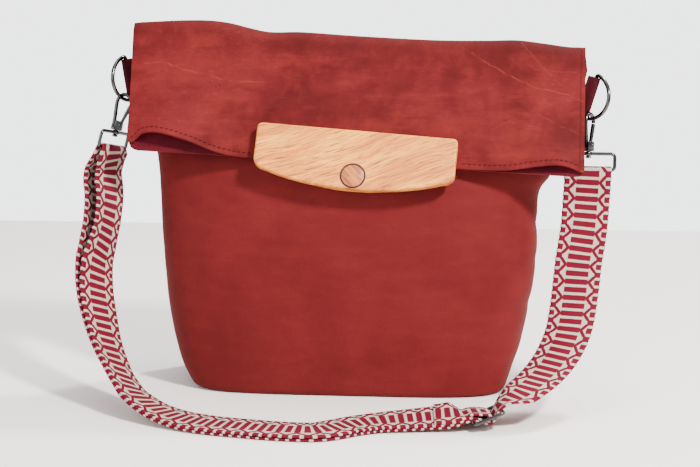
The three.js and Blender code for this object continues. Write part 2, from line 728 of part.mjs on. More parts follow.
// A group whose x, y and z axes are the given ones.
function framed(origin, x, y, z) {
  const group = new THREE.Group();
  new THREE.Matrix4().makeBasis(x, y, z).setPosition(origin).decompose(group.position, group.quaternion, group.scale);
  bag.add(group);
  return group;
}

const loopBars = {}; // where the webbing turns round each loop
for (const it of SIDES) {
  const barUp = V(it.side * Math.sin(rad(it.barLean)), 0, Math.cos(rad(it.barLean)));
  const height = it.barHeight * STAND_HEIGHT;
  const seamY = -seamBack(it.barHeight);
  const barMiddle = V(bodySide(it.side, height) + it.side * it.barReach, seamY, height);

  const inward = V(-it.side, 0, 0).addScaledVector(barUp, it.side * barUp.x).normalize();
  const tabFrame = framed(barMiddle, inward, barUp.clone().cross(inward), barUp);
  const rootAt = (along) => {
    const p = barMiddle.clone().addScaledVector(barUp, along);
    return Math.abs(p.x - bodySide(it.side, p.z)) * barUp.z - 2 * GAP;
  };
  const root = Math.min(rootAt(-TAB_HEIGHT / 2), rootAt(0), rootAt(TAB_HEIGHT / 2));
  tabFrame.add(add(`tab_${it.name}`, tabGeometry(root), finish.tab));

  const turn = rad(it.ringTurn);
  const out = V(it.side * Math.sin(turn), -Math.cos(turn), -Math.tan(rad(it.ringSag)));
  out.addScaledVector(barUp, -out.dot(barUp)).normalize();
  const ringPlane = out.clone().cross(barUp).normalize();
  const ringAt = ([o, b]) => barMiddle.clone().addScaledVector(out, o).addScaledVector(barUp, b);
  add(`d_ring_${it.name}`, wire(ringOutline().map(ringAt), RING_WIRE, ringPlane, true), finish.gunmetal);

  const hang = rad(it.hang);
  const grip = ringAt([RING_REACH * Math.cos(hang), (RING_INNER / 2 + RING_WIRE) * Math.sin(hang)]);
  const up = it.hookUp.clone().normalize();
  const towards = V(Math.cos(rad(it.gateTurn)), Math.sin(rad(it.gateTurn)), 0);
  towards.addScaledVector(up, -towards.dot(up)).normalize();
  const blockAt = grip.clone().addScaledVector(towards, -HANG_POINT.u).addScaledVector(up, -HANG_POINT.h);
  const hookFrame = framed(blockAt, towards, up.clone().cross(towards), up);
  hookFrame.add(add(`hook_${it.name}`, hookGeometry(), finish.gunmetal));
  hookFrame.add(add(`gate_${it.name}`, leverGeometry(), finish.gunmetal));

  const along = it.loopAlong.clone().normalize();
  along.addScaledVector(up, -along.dot(up)).normalize();
  const loopAt = blockAt.clone().addScaledVector(up, LOOP_TOP);
  const loopFrame = framed(loopAt, along, up.clone().cross(along), up);
  loopFrame.add(add(`loop_${it.name}`, loopGeometry(), finish.gunmetal));
  loopBars[it.name] = { at: loopAt.clone().addScaledVector(up, -LOOP_HEIGHT), along, up };
}

// The slider on the table, in front of the bag
const SLIDER_PLACE = { x: 0.64, y: 0.775, z: 0.0307 }; // shares of HALF_WIDTH, STRAP_REACH and STAND_HEIGHT
const sliderAt = V(SLIDER_PLACE.x * HALF_WIDTH, -SLIDER_PLACE.y * STRAP_REACH, SLIDER_PLACE.z * STAND_HEIGHT);
const sliderAlong = V(
  Math.cos(SLIDER_TILT) * Math.cos(SLIDER_TURN),
  Math.cos(SLIDER_TILT) * Math.sin(SLIDER_TURN),
  Math.sin(SLIDER_TILT),
);
const sliderNear = V(Math.sin(SLIDER_TURN), -Math.cos(SLIDER_TURN), 0).applyAxisAngle(sliderAlong, -SLIDER_ROLL);
const sliderUp = sliderNear.clone().cross(sliderAlong); // sliderNear runs along its bars, to the viewer
{
  const half = WEB_WIDTH / 2 + LOOP_SLACK + BAR;
  const corner = 3;
  const round = (x, y, from) =>
    Array.from({ length: 3 }, (_, k) => {
      const a = rad(from + 45 * k);
      return V(x + corner * Math.cos(a), y + corner * Math.sin(a), 0);
    });
  const line = [
    ...round(SLIDER_HALF - corner, half - corner, 0),
    ...round(-SLIDER_HALF + corner, half - corner, 90),
    ...round(-SLIDER_HALF + corner, -half + corner, 180),
    ...round(SLIDER_HALF - corner, -half + corner, 270),
  ];
  const frame = solid(wire(line, BAR, V(0, 0, 1), true));
  const middle = solid(bar(V(0, -half, 0), V(0, half, 0), BAR, 8));
  const sliderFrame = framed(sliderAt, sliderAlong, sliderUp.clone().cross(sliderAlong), sliderUp);
  sliderFrame.add(add('slider', geometryOf(frame.add(middle)), finish.gunmetal));
}

// The strap: one band of webbing, from the sewn tail at the slider, out to the left loop, back
// along the table through the slider, and up to the right loop, where its other end is sewn.
// across turns from straight towards the viewer to the right, tilt lifts that edge, both in degrees;
// x is a share of HALF_WIDTH, y of STRAP_REACH, z of STAND_HEIGHT, spread of the loops' height.
const PAIR = table(
  ['x', 'y', 'z', 'across', 'tilt', 'spread'],
  [
    [-1.105, 0.095, 0.612, -16, 6, 0.85],
    [-1.097, 0.135, 0.54, -15, 6, 0.9],
    [-1.1, 0.175, 0.48, -14, 6, 0.85],
    [-1.11, 0.225, 0.42, -15, 6, 0.75],
    [-1.118, 0.285, 0.365, -18, 6, 0.55],
    [-1.105, 0.355, 0.298, -20, 5, 0.36],
    [-1.073, 0.43, 0.232, -18, 4, 0.26],
    [-1.035, 0.5, 0.175, -12, 3, 0.19],
    [-0.99, 0.565, 0.128, -6, 2, 0.16],
    [-0.935, 0.635, 0.086, 0, 1, 0.15],
    [-0.865, 0.715, 0.052, 0, 0, 0.15],
    [-0.775, 0.79, 0.028, 0, -1, 0.15],
    [-0.66, 0.86, 0.0135, 0, 0, 0.15],
    [-0.52, 0.92, 0.0095, 0, 0, 0.16],
    [-0.36, 0.96, 0.009, 0, 0, 0.17],
    [-0.2, 0.99, 0.009, 0, 0, 0.19],
    [-0.05, 0.985, 0.009, 0, 0, 0.2],
    [0.06, 0.9, 0.0095, 0, 0, 0.19],
    [0.17, 0.84, 0.012, 0, 2, 0.18],
    [0.3, 0.815, 0.017, 0, 5, 0.16],
    [0.42, 0.8, 0.023, 2, 7, 0.15],
    [0.49, 0.795, 0.0275, 5, 8, 0.14],
  ],
);
const RISE = table(
  ['x', 'y', 'z', 'across', 'tilt'],
  [
    [0.775, 0.725, 0.08, 22, 8],
    [0.835, 0.65, 0.1, 40, 6],
    [0.9, 0.555, 0.13, 56, 3],
    [0.953, 0.465, 0.173, 64, 2],
    [0.986, 0.39, 0.22, 72, 0],
    [1.009, 0.285, 0.3, 84, -4],
    [1.024, 0.2, 0.38, 89, -4],
    [1.045, 0.132, 0.463, 90, -1],
    [1.054, 0.09, 0.535, 90, 0],
  ],
);
const PLY_STEP = WEB + GAP; // between the middles of two plies that lie together
const turnRadius = BAR + GAP + WEB / 2; // of the webbing's middle round a bar

const stationAt = (row) => ({
  p: V(row.x * HALF_WIDTH, -row.y * STRAP_REACH, row.z * STAND_HEIGHT),
  w: V(Math.sin(rad(row.across)), -Math.cos(rad(row.across)), 0),
  tilt: rad(row.tilt),
  spread: Math.max((row.spread ?? 0) * LOOP_HEIGHT, PLY_STEP),
});

// Smooths a run of stations to the given number of steps between two of them.
function smoothRun(stations, steps) {
  const line = new THREE.CatmullRomCurve3(stations.map((s) => s.p), false, 'centripetal');
  const edge = new THREE.CatmullRomCurve3(stations.map((s) => s.w), false, 'centripetal');
  const out = [];
  const last = (stations.length - 1) * steps;
  for (let k = 0; k <= last; k++) {
    const t = k / last;
    const i = Math.min(Math.floor(t * (stations.length - 1)), stations.length - 2);
    const between = (name) => mix(stations[i][name], stations[i + 1][name], t * (stations.length - 1) - i);
    const ahead = line.getTangent(t);
    const w = edge.getPoint(t);
    w.addScaledVector(ahead, -w.dot(ahead)).normalize().applyAxisAngle(ahead, between('tilt'));
    out.push({ p: line.getPoint(t), w, spread: between('spread') });
  }
  return out;
}

// Moves each station of a run off its line, along the normal of the band.
function offset(run, distance) {
  return run.map((s, i) => {
    const ahead = run[Math.min(i + 1, run.length - 1)].p.clone().sub(run[Math.max(i - 1, 0)].p);
    const normal = ahead.cross(s.w).normalize();
    return { p: s.p.clone().addScaledVector(normal, distance(s)), w: s.w };
  });
}

// Where the webbing leaves a loop's bar, a little below it.
const offBar = ({ at, along, up }, facing, aside, drop, spread) => {
  const w = along.clone().multiplyScalar(facing);
  const side = up.clone().cross(w).multiplyScalar(aside);
  return { p: at.clone().add(side).addScaledVector(up, -drop), w, tilt: 0, spread };
};

const pairRun = smoothRun([offBar(loopBars.left, 1, 0, 5, 2 * turnRadius + 2), ...PAIR.map(stationAt)], 2);
const upperRun = offset(pairRun, (s) => -s.spread / 2).reverse(); // slider to left loop
const lowerRun = offset(pairRun, (s) => s.spread / 2); // left loop to slider

// The webbing round a loop's lower bar: comes up on one side and goes down on the other.
function roundBar({ at, along, up }, from, to, steps) {
  const side = up.clone().cross(along);
  return Array.from({ length: steps + 1 }, (_, k) => {
    const a = rad(mix(from, to, k / steps));
    return {
      p: at
        .clone()
        .addScaledVector(side, turnRadius * Math.cos(a))
        .addScaledVector(up, turnRadius * Math.sin(a)),
      w: along.clone(),
    };
  });
}

// The webbing through the slider, in the slider's own s (along) and n (up).
const SLOPE = rad(35);
const near = { s: -turnRadius * Math.sin(SLOPE), n: -turnRadius * Math.cos(SLOPE) };
const under = turnRadius + PLY_STEP;
const upperEnd = near.n + (SLIDER_HALF + near.s) * Math.tan(SLOPE);
const lowerEnd = upperEnd - PLY_STEP / Math.cos(SLOPE);
const inSlider = (s, n) => ({
  p: sliderAt.clone().addScaledVector(sliderAlong, s).addScaledVector(sliderUp, n),
  w: sliderNear.clone(),
});
const lowerThrough = [
  inSlider(-SLIDER_HALF - 4, lowerEnd + 0.4),
  inSlider(-SLIDER_HALF, lowerEnd),
  inSlider(-under * Math.sin(SLOPE), -under * Math.cos(SLOPE)),
  inSlider(0, -under),
  inSlider(under * Math.sin(SLOPE), -under * Math.cos(SLOPE)),
  inSlider(SLIDER_HALF, lowerEnd),
  inSlider(SLIDER_HALF + 4, lowerEnd + 0.9),
];
const tailLift = PLY_STEP / Math.cos(SLOPE);
const tailThrough = [
  inSlider(-SLIDER_HALF - 4, upperEnd + 0.4 + PLY_STEP),
  inSlider(-SLIDER_HALF, upperEnd + tailLift),
  inSlider(-SLIDER_HALF * 0.55, mix(turnRadius, upperEnd, 0.45) + tailLift * 0.9),
  inSlider(0, turnRadius),
  inSlider(turnRadius * 0.87, turnRadius * 0.5),
  inSlider(turnRadius, 0),
  inSlider(turnRadius * 0.87, -turnRadius * 0.5),
  inSlider(0, -turnRadius),
  inSlider(near.s, near.n),
  inSlider(-SLIDER_HALF, upperEnd),
  inSlider(-SLIDER_HALF - 4, upperEnd + 0.4),
];

// The sewn tail lies on the upper ply for the rest of its length.
const tailRun = [];
{
  let left = TAIL - SLIDER_HALF - 4;
  const run = offset(pairRun, (s) => -s.spread / 2 - PLY_STEP).reverse();
  for (let i = 0; i < run.length && left > 0; i++) {
    const step = i ? run[i].p.distanceTo(run[i - 1].p) : 6;
    left -= step;
    tailRun.unshift(run[i]);
  }
}

// Up to the right loop, round its bar, and a short way back down behind.
const rightBar = loopBars.right;
const riseRun = smoothRun([...RISE.map(stationAt), offBar(rightBar, -1, -turnRadius, 5, 0)], 2);
const rightTurn = roundBar({ ...rightBar, along: rightBar.along.clone().negate() }, 180, 0, 5);
const sewnRun = [];
{
  const back = offset(riseRun, () => PLY_STEP).reverse().slice(1);
  let left = SEWN_RETURN - 8;
  for (let i = 0; i < back.length && left > 0; i++) {
    left -= i ? back[i].p.distanceTo(back[i - 1].p) : 10;
    sewnRun.push(back[i]);
  }
}
const leftTurn = roundBar(loopBars.left, 0, 180, 5);

const strapRun = [
  ...tailRun,
  ...tailThrough,
  ...upperRun,
  ...leftTurn,
  ...lowerRun,
  ...lowerThrough,
  ...riseRun,
  ...rightTurn,
  ...sewnRun,
];

function strapGeometry(run) {
  const list = run.map((s, i) => {
    const ahead = run[Math.min(i + 1, run.length - 1)].p.clone().sub(run[Math.max(i - 1, 0)].p).normalize();
    const w = s.w.clone().addScaledVector(ahead, -s.w.dot(ahead)).normalize();
    const n = ahead.clone().cross(w);
    const corner = (a, b) =>
      s.p
        .clone()
        .addScaledVector(w, (a * WEB_WIDTH) / 2)
        .addScaledVector(n, (b * WEB) / 2);
    return [corner(-1, -1), corner(1, -1), corner(1, 1), corner(-1, 1)];
  });
  const { vertices, quads } = rings(list, false);
  return quadMesh(vertices, quads);
}
add('strap', strapGeometry(strapRun), finish.webbing);

export default bag;
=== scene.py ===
from math import atan2, cos, exp, pi, radians, sin, sqrt, tan

import bmesh
import bpy
from mathutils import Matrix, Vector, noise


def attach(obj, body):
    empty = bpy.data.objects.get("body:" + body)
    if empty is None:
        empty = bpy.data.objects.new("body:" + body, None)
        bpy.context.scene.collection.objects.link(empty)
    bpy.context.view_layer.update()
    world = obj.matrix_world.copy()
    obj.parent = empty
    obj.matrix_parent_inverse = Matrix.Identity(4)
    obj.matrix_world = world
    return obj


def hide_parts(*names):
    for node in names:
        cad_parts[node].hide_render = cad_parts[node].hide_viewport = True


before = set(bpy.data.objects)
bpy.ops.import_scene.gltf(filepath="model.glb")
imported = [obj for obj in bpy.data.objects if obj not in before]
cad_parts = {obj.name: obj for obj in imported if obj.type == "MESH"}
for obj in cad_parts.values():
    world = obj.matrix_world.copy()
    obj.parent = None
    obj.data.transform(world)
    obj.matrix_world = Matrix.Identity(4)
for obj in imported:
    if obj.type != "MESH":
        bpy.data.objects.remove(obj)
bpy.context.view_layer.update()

scene = bpy.context.scene

# Camera
# The bag is seen from a little to the right of straight ahead and from slightly above, through a
# long lens, as on a product table.
PICTURE_WIDTH_PX = 700
FOCAL_PX = 2042
SENSOR_MM = 36
CAMERA_DISTANCE = 1.79
CAMERA_AIM = Vector((0, 0, 0.131))
CAMERA_ELEVATION = radians(11)
CAMERA_TURN = radians(5)

camera = bpy.data.objects.new("camera", bpy.data.cameras.new("camera"))
camera.data.sensor_width = SENSOR_MM
camera.data.lens = SENSOR_MM * FOCAL_PX / PICTURE_WIDTH_PX
towards_bag = Vector((-sin(CAMERA_TURN), cos(CAMERA_TURN), -tan(CAMERA_ELEVATION))).normalized()
camera.location = CAMERA_AIM - CAMERA_DISTANCE * towards_bag
camera.rotation_euler = towards_bag.to_track_quat("-Z", "Y").to_euler()
scene.collection.objects.link(camera)
scene.camera = camera

# Webbing strap
# One band of 40 mm jacquard webbing, cream with a crimson pattern: rungs down the middle, a chain
# of hexagons round them and dashes along both selvedges. Its line is the band's own centre line.
MM = 0.001
WEB_WIDTH = 40
WEB_THICKNESS = 1.6
WEB_STEP = 1.6
WEB_COLUMNS = 16
WEB_WAVE = 0.12
WEB_WAVE_LENGTH = 18
SCALLOP = 0.3
RUNG_PITCH = 7.4
RUNG_HALF = 9.7
RUNG_SHARE = 0.68
WAIST = 10.6
OUTER_POINT = 15.6
SLANT_RATE = 2.35
LINE_WIDTH = 2.2
SLANT_WIDTH = 3.6
DASH_FROM = 15.2
DASH_SHARE = 0.68
EDGE_BLUR = 0.2
PITCH_BLUR = 0.035
THREAD_PITCH = 0.85
FLOAT_PITCH = 1.05
CREAM = (0.5, 0.4, 0.34)
CREAM_SHADE = (0.43, 0.33, 0.28)
CRIMSON = (0.1, 0.0006, 0.0095)
CRIMSON_LIGHT = (0.135, 0.0012, 0.0135)


def band_stations(node):
    """Middle and across direction of each station of a band that is built of rings of four corners."""
    bm = bmesh.new()
    bm.from_mesh(node.data)
    bmesh.ops.remove_doubles(bm, verts=bm.verts, dist=1e-6)
    bm.transform(Matrix.Scale(1 / MM, 4))
    best = []
    for face in bm.faces:
        sides = sorted(edge.calc_length() for edge in face.edges)
        if abs(sides[0] - WEB_THICKNESS) > 0.01 or abs(sides[1] - WEB_WIDTH) > 0.05:
            continue
        mates = [
            mate for edge in face.edges for mate in edge.link_faces
            if mate != face and mate.normal.dot(face.normal) > 0.999
        ]
        for mate in mates:
            ring = set(face.verts) | set(mate.verts)
            seen, layers = set(ring), [ring]
            while layers[-1]:
                around = {e.other_vert(v) for v in layers[-1] for e in v.link_edges} - seen
                seen |= around
                layers.append(around)
            layers.pop()
            if len(ring) == 4 and all(len(layer) == 4 for layer in layers) and len(layers) > len(best):
                best = layers
    stations = []
    near_edge = None
    for layer in best:
        corners = sorted((v.co.copy() for v in layer), key=tuple)
        first = corners[0]
        partner = min(corners[1:], key=lambda c: (c - first).length)
        pair = (first + partner) / 2
        other = (sum(corners, Vector()) - first - partner) / 2
        if near_edge is not None and (pair - near_edge).length > (other - near_edge).length:
            pair, other = other, pair
        near_edge = pair
        stations.append(((pair + other) / 2, (other - pair).normalized()))
    bm.free()
    return stations


def lengths_along(points):
    """How long a line of points is up to each of them."""
    reach = [0]
    for a, b in zip(points, points[1:]):
        reach.append(reach[-1] + (b - a).length)
    return reach


def hermite(a, b, slope_a, slope_b, t):
    """A smooth curve from a to b at t between 0 and 1, with the slopes given for its ends."""
    rise, fall = t * t * (3 - 2 * t), t * t * t
    return a * (1 - rise) + b * rise + slope_a * (t - 2 * t * t + fall) + slope_b * (fall - t * t)


def even_run(stations, step):
    """The same line with stations about one step apart, smooth through the given ones."""
    reach = lengths_along([middle for middle, _ in stations])

    def slope(i, part):
        a, b = max(i - 1, 0), min(i + 1, len(stations) - 1)
        return (stations[b][part] - stations[a][part]) / (reach[b] - reach[a])

    count = round(reach[-1] / step)
    run = []
    i = 0
    for k in range(count + 1):
        goal = reach[-1] * k / count
        while i < len(reach) - 2 and reach[i + 1] < goal:
            i += 1
        span = reach[i + 1] - reach[i]
        t = (goal - reach[i]) / span
        here, there = stations[i], stations[i + 1]
        middle, across = (
            hermite(here[part], there[part], slope(i, part) * span, slope(i + 1, part) * span, t)
            for part in (0, 1)
        )
        run.append((middle, across.normalized(), goal))
    return run


def grid_sheet(rows, columns, place, flat):
    """A grid with its corner (row, column) at place(row, column) and a UV map named weave from flat."""
    bm = bmesh.new()
    bmesh.ops.create_grid(bm, x_segments=columns, y_segments=rows, size=1)
    where = {}
    for v in bm.verts:
        where[v] = (round((v.co.y + 1) / 2 * rows), round((v.co.x + 1) / 2 * columns))
    layer = bm.loops.layers.uv.new("weave")
    for face in bm.faces:
        for loop in face.loops:
            loop[layer].uv = flat(*where[loop.vert])
    for v, (r, c) in where.items():
        v.co = place(r, c)
    return bm


def finished(name, bm, materials, body, stands_for=None, place=None):
    """Puts a shape drawn in millimetres into the scene as a piece that rides on a body."""
    if place is not None:
        bm.transform(place)
    bm.transform(Matrix.Scale(MM, 4))
    mesh = bpy.data.meshes.new(name)
    bm.to_mesh(mesh)
    bm.free()
    for material in materials:
        mesh.materials.append(material)
    mesh.polygons.foreach_set("use_smooth", [True] * len(mesh.polygons))
    obj = bpy.data.objects.new(name, mesh)
    scene.collection.objects.link(obj)
    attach(obj, body)
    if stands_for:
        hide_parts(stands_for)
    return obj


def modifier(obj, kind, **settings):
    made = obj.modifiers.new(kind.lower(), kind)
    for key, value in settings.items():
        setattr(made, key, value)
    return made


def new_material(name):
    material = bpy.data.materials.new(name)
    material.use_nodes = True
    return material, material.node_tree, material.node_tree.nodes["Principled BSDF"]


def node(tree, kind, inputs=None, **settings):
    """Adds a shader node; inputs are set by name or number, or linked where they are sockets."""
    made = tree.nodes.new("ShaderNode" + kind)
    for key, value in settings.items():
        setattr(made, key, value)
    for key, value in (inputs or {}).items():
        if isinstance(value, bpy.types.NodeSocket):
            tree.links.new(value, made.inputs[key])
        else:
            made.inputs[key].default_value = value
    return made


def maths(tree, operation, a, b=0.0, c=0.0):
    return node(tree, "Math", {0: a, 1: b, 2: c}, operation=operation).outputs[0]


def times(tree, a, b):
    return maths(tree, "MULTIPLY", a, b)


def soft_step(tree, value, low, high, invert=False):
    """0 below low, 1 above high and smooth between, or the other way round."""
    ends = {3: 1.0, 4: 0.0} if invert else {3: 0.0, 4: 1.0}
    made = node(tree, "MapRange", {0: value, 1: low, 2: high, **ends}, interpolation_type="SMOOTHSTEP")
    return made.outputs[0]


def grain(tree, where, scale, detail=3.0, rough=0.55, distortion=0.0):
    return node(tree, "TexNoise", {
        "Vector": where, "Scale": scale, "Detail": detail, "Roughness": rough, "Distortion": distortion,
    }).outputs["Fac"]


def blend_colour(tree, amount, a, b, mode="MIX"):
    made = node(tree, "Mix", data_type="RGBA", blend_type=mode)
    for key, value in ((0, amount), (6, a), (7, b)):
        if isinstance(value, bpy.types.NodeSocket):
            tree.links.new(value, made.inputs[key])
        else:
            made.inputs[key].default_value = (*value, 1) if isinstance(value, tuple) else value
    return made.outputs[2]


def shaded_by(tree, colour, shade):
    """The colour made darker or lighter by a factor."""
    grey = node(tree, "CombineColor", {0: shade, 1: shade, 2: shade}).outputs[0]
    return blend_colour(tree, 1.0, colour, grey, mode="MULTIPLY")


def relief(tree, shader, height, strength, depth):
    """Fine relief from a height between 0 and 1; depth is in metres."""
    bump = node(tree, "Bump", {"Height": height, "Strength": strength, "Distance": depth})
    tree.links.new(bump.outputs[0], shader.inputs["Normal"])


def webbing_material():
    """Cream and crimson jacquard, read from the band's own map of metres across and along it."""
    material, tree, shader = new_material("webbing")
    uv = node(tree, "UVMap", uv_map="weave").outputs[0]
    parts = node(tree, "SeparateXYZ", {0: uv})
    wobble = maths(tree, "MULTIPLY_ADD", grain(tree, uv, 450), 0.5, -0.25)
    across = maths(tree, "ABSOLUTE", times(tree, parts.outputs[0], 1 / MM))
    across = maths(tree, "ADD", across, wobble)
    along = maths(tree, "ADD", times(tree, parts.outputs[1], 1 / MM), wobble)

    # Rungs in the middle and dashes along the edges, both once in each pitch
    in_pitch = maths(tree, "FRACT", maths(tree, "DIVIDE", along, RUNG_PITCH))
    off_rung = maths(tree, "ABSOLUTE", maths(tree, "SUBTRACT", in_pitch, 0.5))
    rung = soft_step(tree, off_rung, RUNG_SHARE / 2 - PITCH_BLUR, RUNG_SHARE / 2 + PITCH_BLUR, invert=True)
    in_rungs = soft_step(tree, across, RUNG_HALF - EDGE_BLUR, RUNG_HALF + EDGE_BLUR, invert=True)
    dash = soft_step(tree, off_rung, DASH_SHARE / 2 - PITCH_BLUR, DASH_SHARE / 2 + PITCH_BLUR, invert=True)
    in_dashes = soft_step(tree, across, DASH_FROM - EDGE_BLUR, DASH_FROM + EDGE_BLUR)

    # The chain's line: in at each waist, slanting out, and straight along the hexagon's side
    in_pair = maths(tree, "FRACT", maths(tree, "DIVIDE", along, 2 * RUNG_PITCH))
    off_waist = maths(tree, "PINGPONG", maths(tree, "SUBTRACT", in_pair, 0.25), 0.5)
    out = maths(tree, "MINIMUM", times(tree, off_waist, SLANT_RATE), 1.0)
    line_at = maths(tree, "MULTIPLY_ADD", out, OUTER_POINT - WAIST, WAIST)
    off_line = maths(tree, "ABSOLUTE", maths(tree, "SUBTRACT", across, line_at))
    straight = soft_step(tree, out, 0.9, 1.0)
    half_line = maths(tree, "MULTIPLY_ADD", straight, (LINE_WIDTH - SLANT_WIDTH) / 2, SLANT_WIDTH / 2)
    past_line = maths(tree, "SUBTRACT", off_line, half_line)
    line = soft_step(tree, past_line, -EDGE_BLUR, EDGE_BLUR, invert=True)
    ink = maths(tree, "MAXIMUM", times(tree, rung, in_rungs), line)
    ink = maths(tree, "MAXIMUM", ink, times(tree, dash, in_dashes))

    # Threads: fine ribs across the band, and floats that run along it in the pattern
    threads = maths(tree, "SINE", times(tree, along, 2 * pi / THREAD_PITCH))
    floats = maths(tree, "SINE", times(tree, across, 2 * pi / FLOAT_PITCH))
    weave = times(tree, threads, floats)
    fuzz = grain(tree, uv, 2600, detail=2)
    shade = maths(tree, "MULTIPLY_ADD", weave, 0.06, 0.86)
    shade = maths(tree, "MULTIPLY_ADD", fuzz, 0.16, shade)
    crimson = blend_colour(tree, grain(tree, uv, 90), CRIMSON, CRIMSON_LIGHT)
    cream = blend_colour(tree, grain(tree, uv, 160), CREAM, CREAM_SHADE)
    colour = shaded_by(tree, blend_colour(tree, ink, cream, crimson), shade)
    tree.links.new(colour, shader.inputs["Base Color"])
    shader.inputs["Roughness"].default_value = 0.82
    shader.inputs["Specular IOR Level"].default_value = 0.15
    height = maths(tree, "MULTIPLY_ADD", ink, 0.45, times(tree, weave, 0.28))
    relief(tree, shader, maths(tree, "MULTIPLY_ADD", fuzz, 0.3, height), 0.75, 0.4 * MM)
    return material


webbing = webbing_material()
strap_run = even_run(band_stations(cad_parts["strap"]), WEB_STEP)


def strap_point(row, column):
    """A corner of the band, which waves a little and is drawn in along its edges by the weave."""
    middle, across, reach = strap_run[row]
    share = 2 * column / WEB_COLUMNS - 1
    ahead = strap_run[min(row + 1, len(strap_run) - 1)][0] - strap_run[max(row - 1, 0)][0]
    up = ahead.cross(across).normalized()
    edge = SCALLOP * cos(2 * pi * reach / RUNG_PITCH) if column in (0, WEB_COLUMNS) else 0
    lift = WEB_WAVE * noise.noise(Vector((share * 1.5, reach / WEB_WAVE_LENGTH, 3)))
    return middle + across * (share * WEB_WIDTH / 2 + (edge if share > 0 else -edge)) + up * lift


def strap_flat(row, column):
    return ((column / WEB_COLUMNS - 0.5) * WEB_WIDTH * MM, strap_run[row][2] * MM)


strap_mesh = grid_sheet(len(strap_run) - 1, WEB_COLUMNS, strap_point, strap_flat)
strap = finished("woven_strap", strap_mesh, [webbing], "bag", "strap")
modifier(strap, "SOLIDIFY", thickness=WEB_THICKNESS * MM, offset=0)

# Leather body and flap
# Two soft panels of brick-red nubuck, sewn up the sides and along the base. Both run up to the fold
# and over it, so the flap is their two plies; its hem gapes at both ends.
LEATHER = 2
LEATHER_RIM = 0.75
GAP = 0.3
STAND_HEIGHT = 306
HALF_WIDTH = 194
BASE_HALF_DEPTH = 62
BASE_SEAM_BOW = 4
TOP_SHIFT = 7.6
SEAM_BACK = 4
SEAM_BACK_FROM = 0.65
FOLD_DROP = radians(2.7)
FLAP_LEAN = radians(25)
FLAP_LENGTH = 107
FOLD_CORE = 2.5
FOLD_AIR = 1.8
FOLD_BACK = -4.5
FOLD_RADIUS = FOLD_CORE + 2 * LEATHER + FOLD_AIR
FOLD_HEIGHT = STAND_HEIGHT - FOLD_RADIUS
FOLD_SHARE = 0.93
PLY_REST = 0.6
PLY_AIR = 0.8
PLY_SETTLED = 45
CORNER_FROM = 0.95
CORNER_LIFT_LEFT, CORNER_LIFT_RIGHT = 0.085, 0.03
COLUMNS = 132

# Sections of the body by their share of its height. Widths are shares of HALF_WIDTH and depths of
# BASE_HALF_DEPTH; flatness says how far the rounded box has closed to a flat lens.
SECTION_NAMES = ("height", "left", "right", "front", "back", "squareness", "flatness")
SECTIONS = (
    (0.0, 0.675, 0.68, 0.95, 0.9, 4.6, 0),
    (0.008, 0.7, 0.707, 1.0, 0.95, 4.6, 0),
    (0.03, 0.725, 0.722, 1.03, 0.98, 4.3, 0),
    (0.07, 0.758, 0.742, 1.055, 1.01, 4.0, 0),
    (0.145, 0.796, 0.782, 1.08, 1.02, 3.5, 0),
    (0.26, 0.825, 0.815, 1.08, 1.01, 3.1, 0),
    (0.4, 0.846, 0.84, 1.04, 0.96, 2.8, 0.02),
    (0.5, 0.854, 0.845, 0.98, 0.92, 2.6, 0.04),
    (0.575, 0.862, 0.858, 0.925, 0.87, 2.5, 0.08),
    (0.615, 0.868, 0.896, 0.88, 0.82, 2.4, 0.14),
    (0.67, 0.878, 0.918, 0.775, 0.735, 2.3, 0.25),
    (0.76, 0.902, 0.965, 0.555, 0.55, 2.3, 0.5),
    (0.85, 0.928, 1.022, 0.335, 0.35, 2.4, 0.75),
    (0.93, 0.952, 1.05, 0.14, 0.17, 2.6, 1),
)
# Curves along the flap, from -1 at its left end to 1 at its right; values are shares of FLAP_LENGTH
FOLD_WAVE = (
    (-1, -0.004), (-0.93, 0.009), (-0.78, 0.036), (-0.66, 0.046), (-0.57, 0.034),
    (-0.48, 0.002), (-0.395, -0.02), (-0.26, -0.007), (0, -0.013), (0.35, -0.011),
    (0.58, 0.009), (0.7, 0.024), (0.82, 0.01), (0.93, -0.007), (1, -0.002),
)
MOUTH_LIFT = (
    (-1, 0), (-0.975, 0.045), (-0.94, 0.11), (-0.86, 0.125), (-0.73, 0.08), (-0.6, 0.01),
    (-0.5, -0.012), (-0.4, -0.012), (0, 0), (0.45, 0), (0.66, 0.005), (0.8, 0.045), (0.89, 0.062),
    (0.96, 0.045), (1, 0),
)
MOUTH_GAPE = (
    (-1, 0), (-0.965, 0.03), (-0.93, 0.075), (-0.86, 0.11), (-0.73, 0.09), (-0.6, 0.035), (-0.5, 0),
    (-0.4, 0), (0, 0), (0.45, 0), (0.66, 0.02), (0.8, 0.055), (0.89, 0.065), (0.96, 0.03), (1, 0),
)


def reader(points):
    """A smooth curve through points (where, value), as a function."""
    last = len(points) - 1

    def slope(k):
        a, b = points[max(k - 1, 0)], points[min(k + 1, last)]
        return (b[1] - a[1]) / (b[0] - a[0])

    def read(where):
        j = 0
        while j < last - 1 and points[j + 1][0] < where:
            j += 1
        span = points[j + 1][0] - points[j][0]
        t = min(max((where - points[j][0]) / span, 0), 1)
        return hermite(points[j][1], points[j + 1][1], slope(j) * span, slope(j + 1) * span, t)

    return read


section = {
    name: reader([(row[0], row[k]) for row in SECTIONS]) for k, name in enumerate(SECTION_NAMES) if k
}
fold_wave = reader(FOLD_WAVE)
mouth_lift = reader(MOUTH_LIFT)
mouth_gape = reader(MOUTH_GAPE)
flap_down = Vector((0, -sin(FLAP_LEAN), -cos(FLAP_LEAN)))
flap_face = Vector((0, -cos(FLAP_LEAN), sin(FLAP_LEAN)))


def mix(a, b, t):
    return a + (b - a) * t


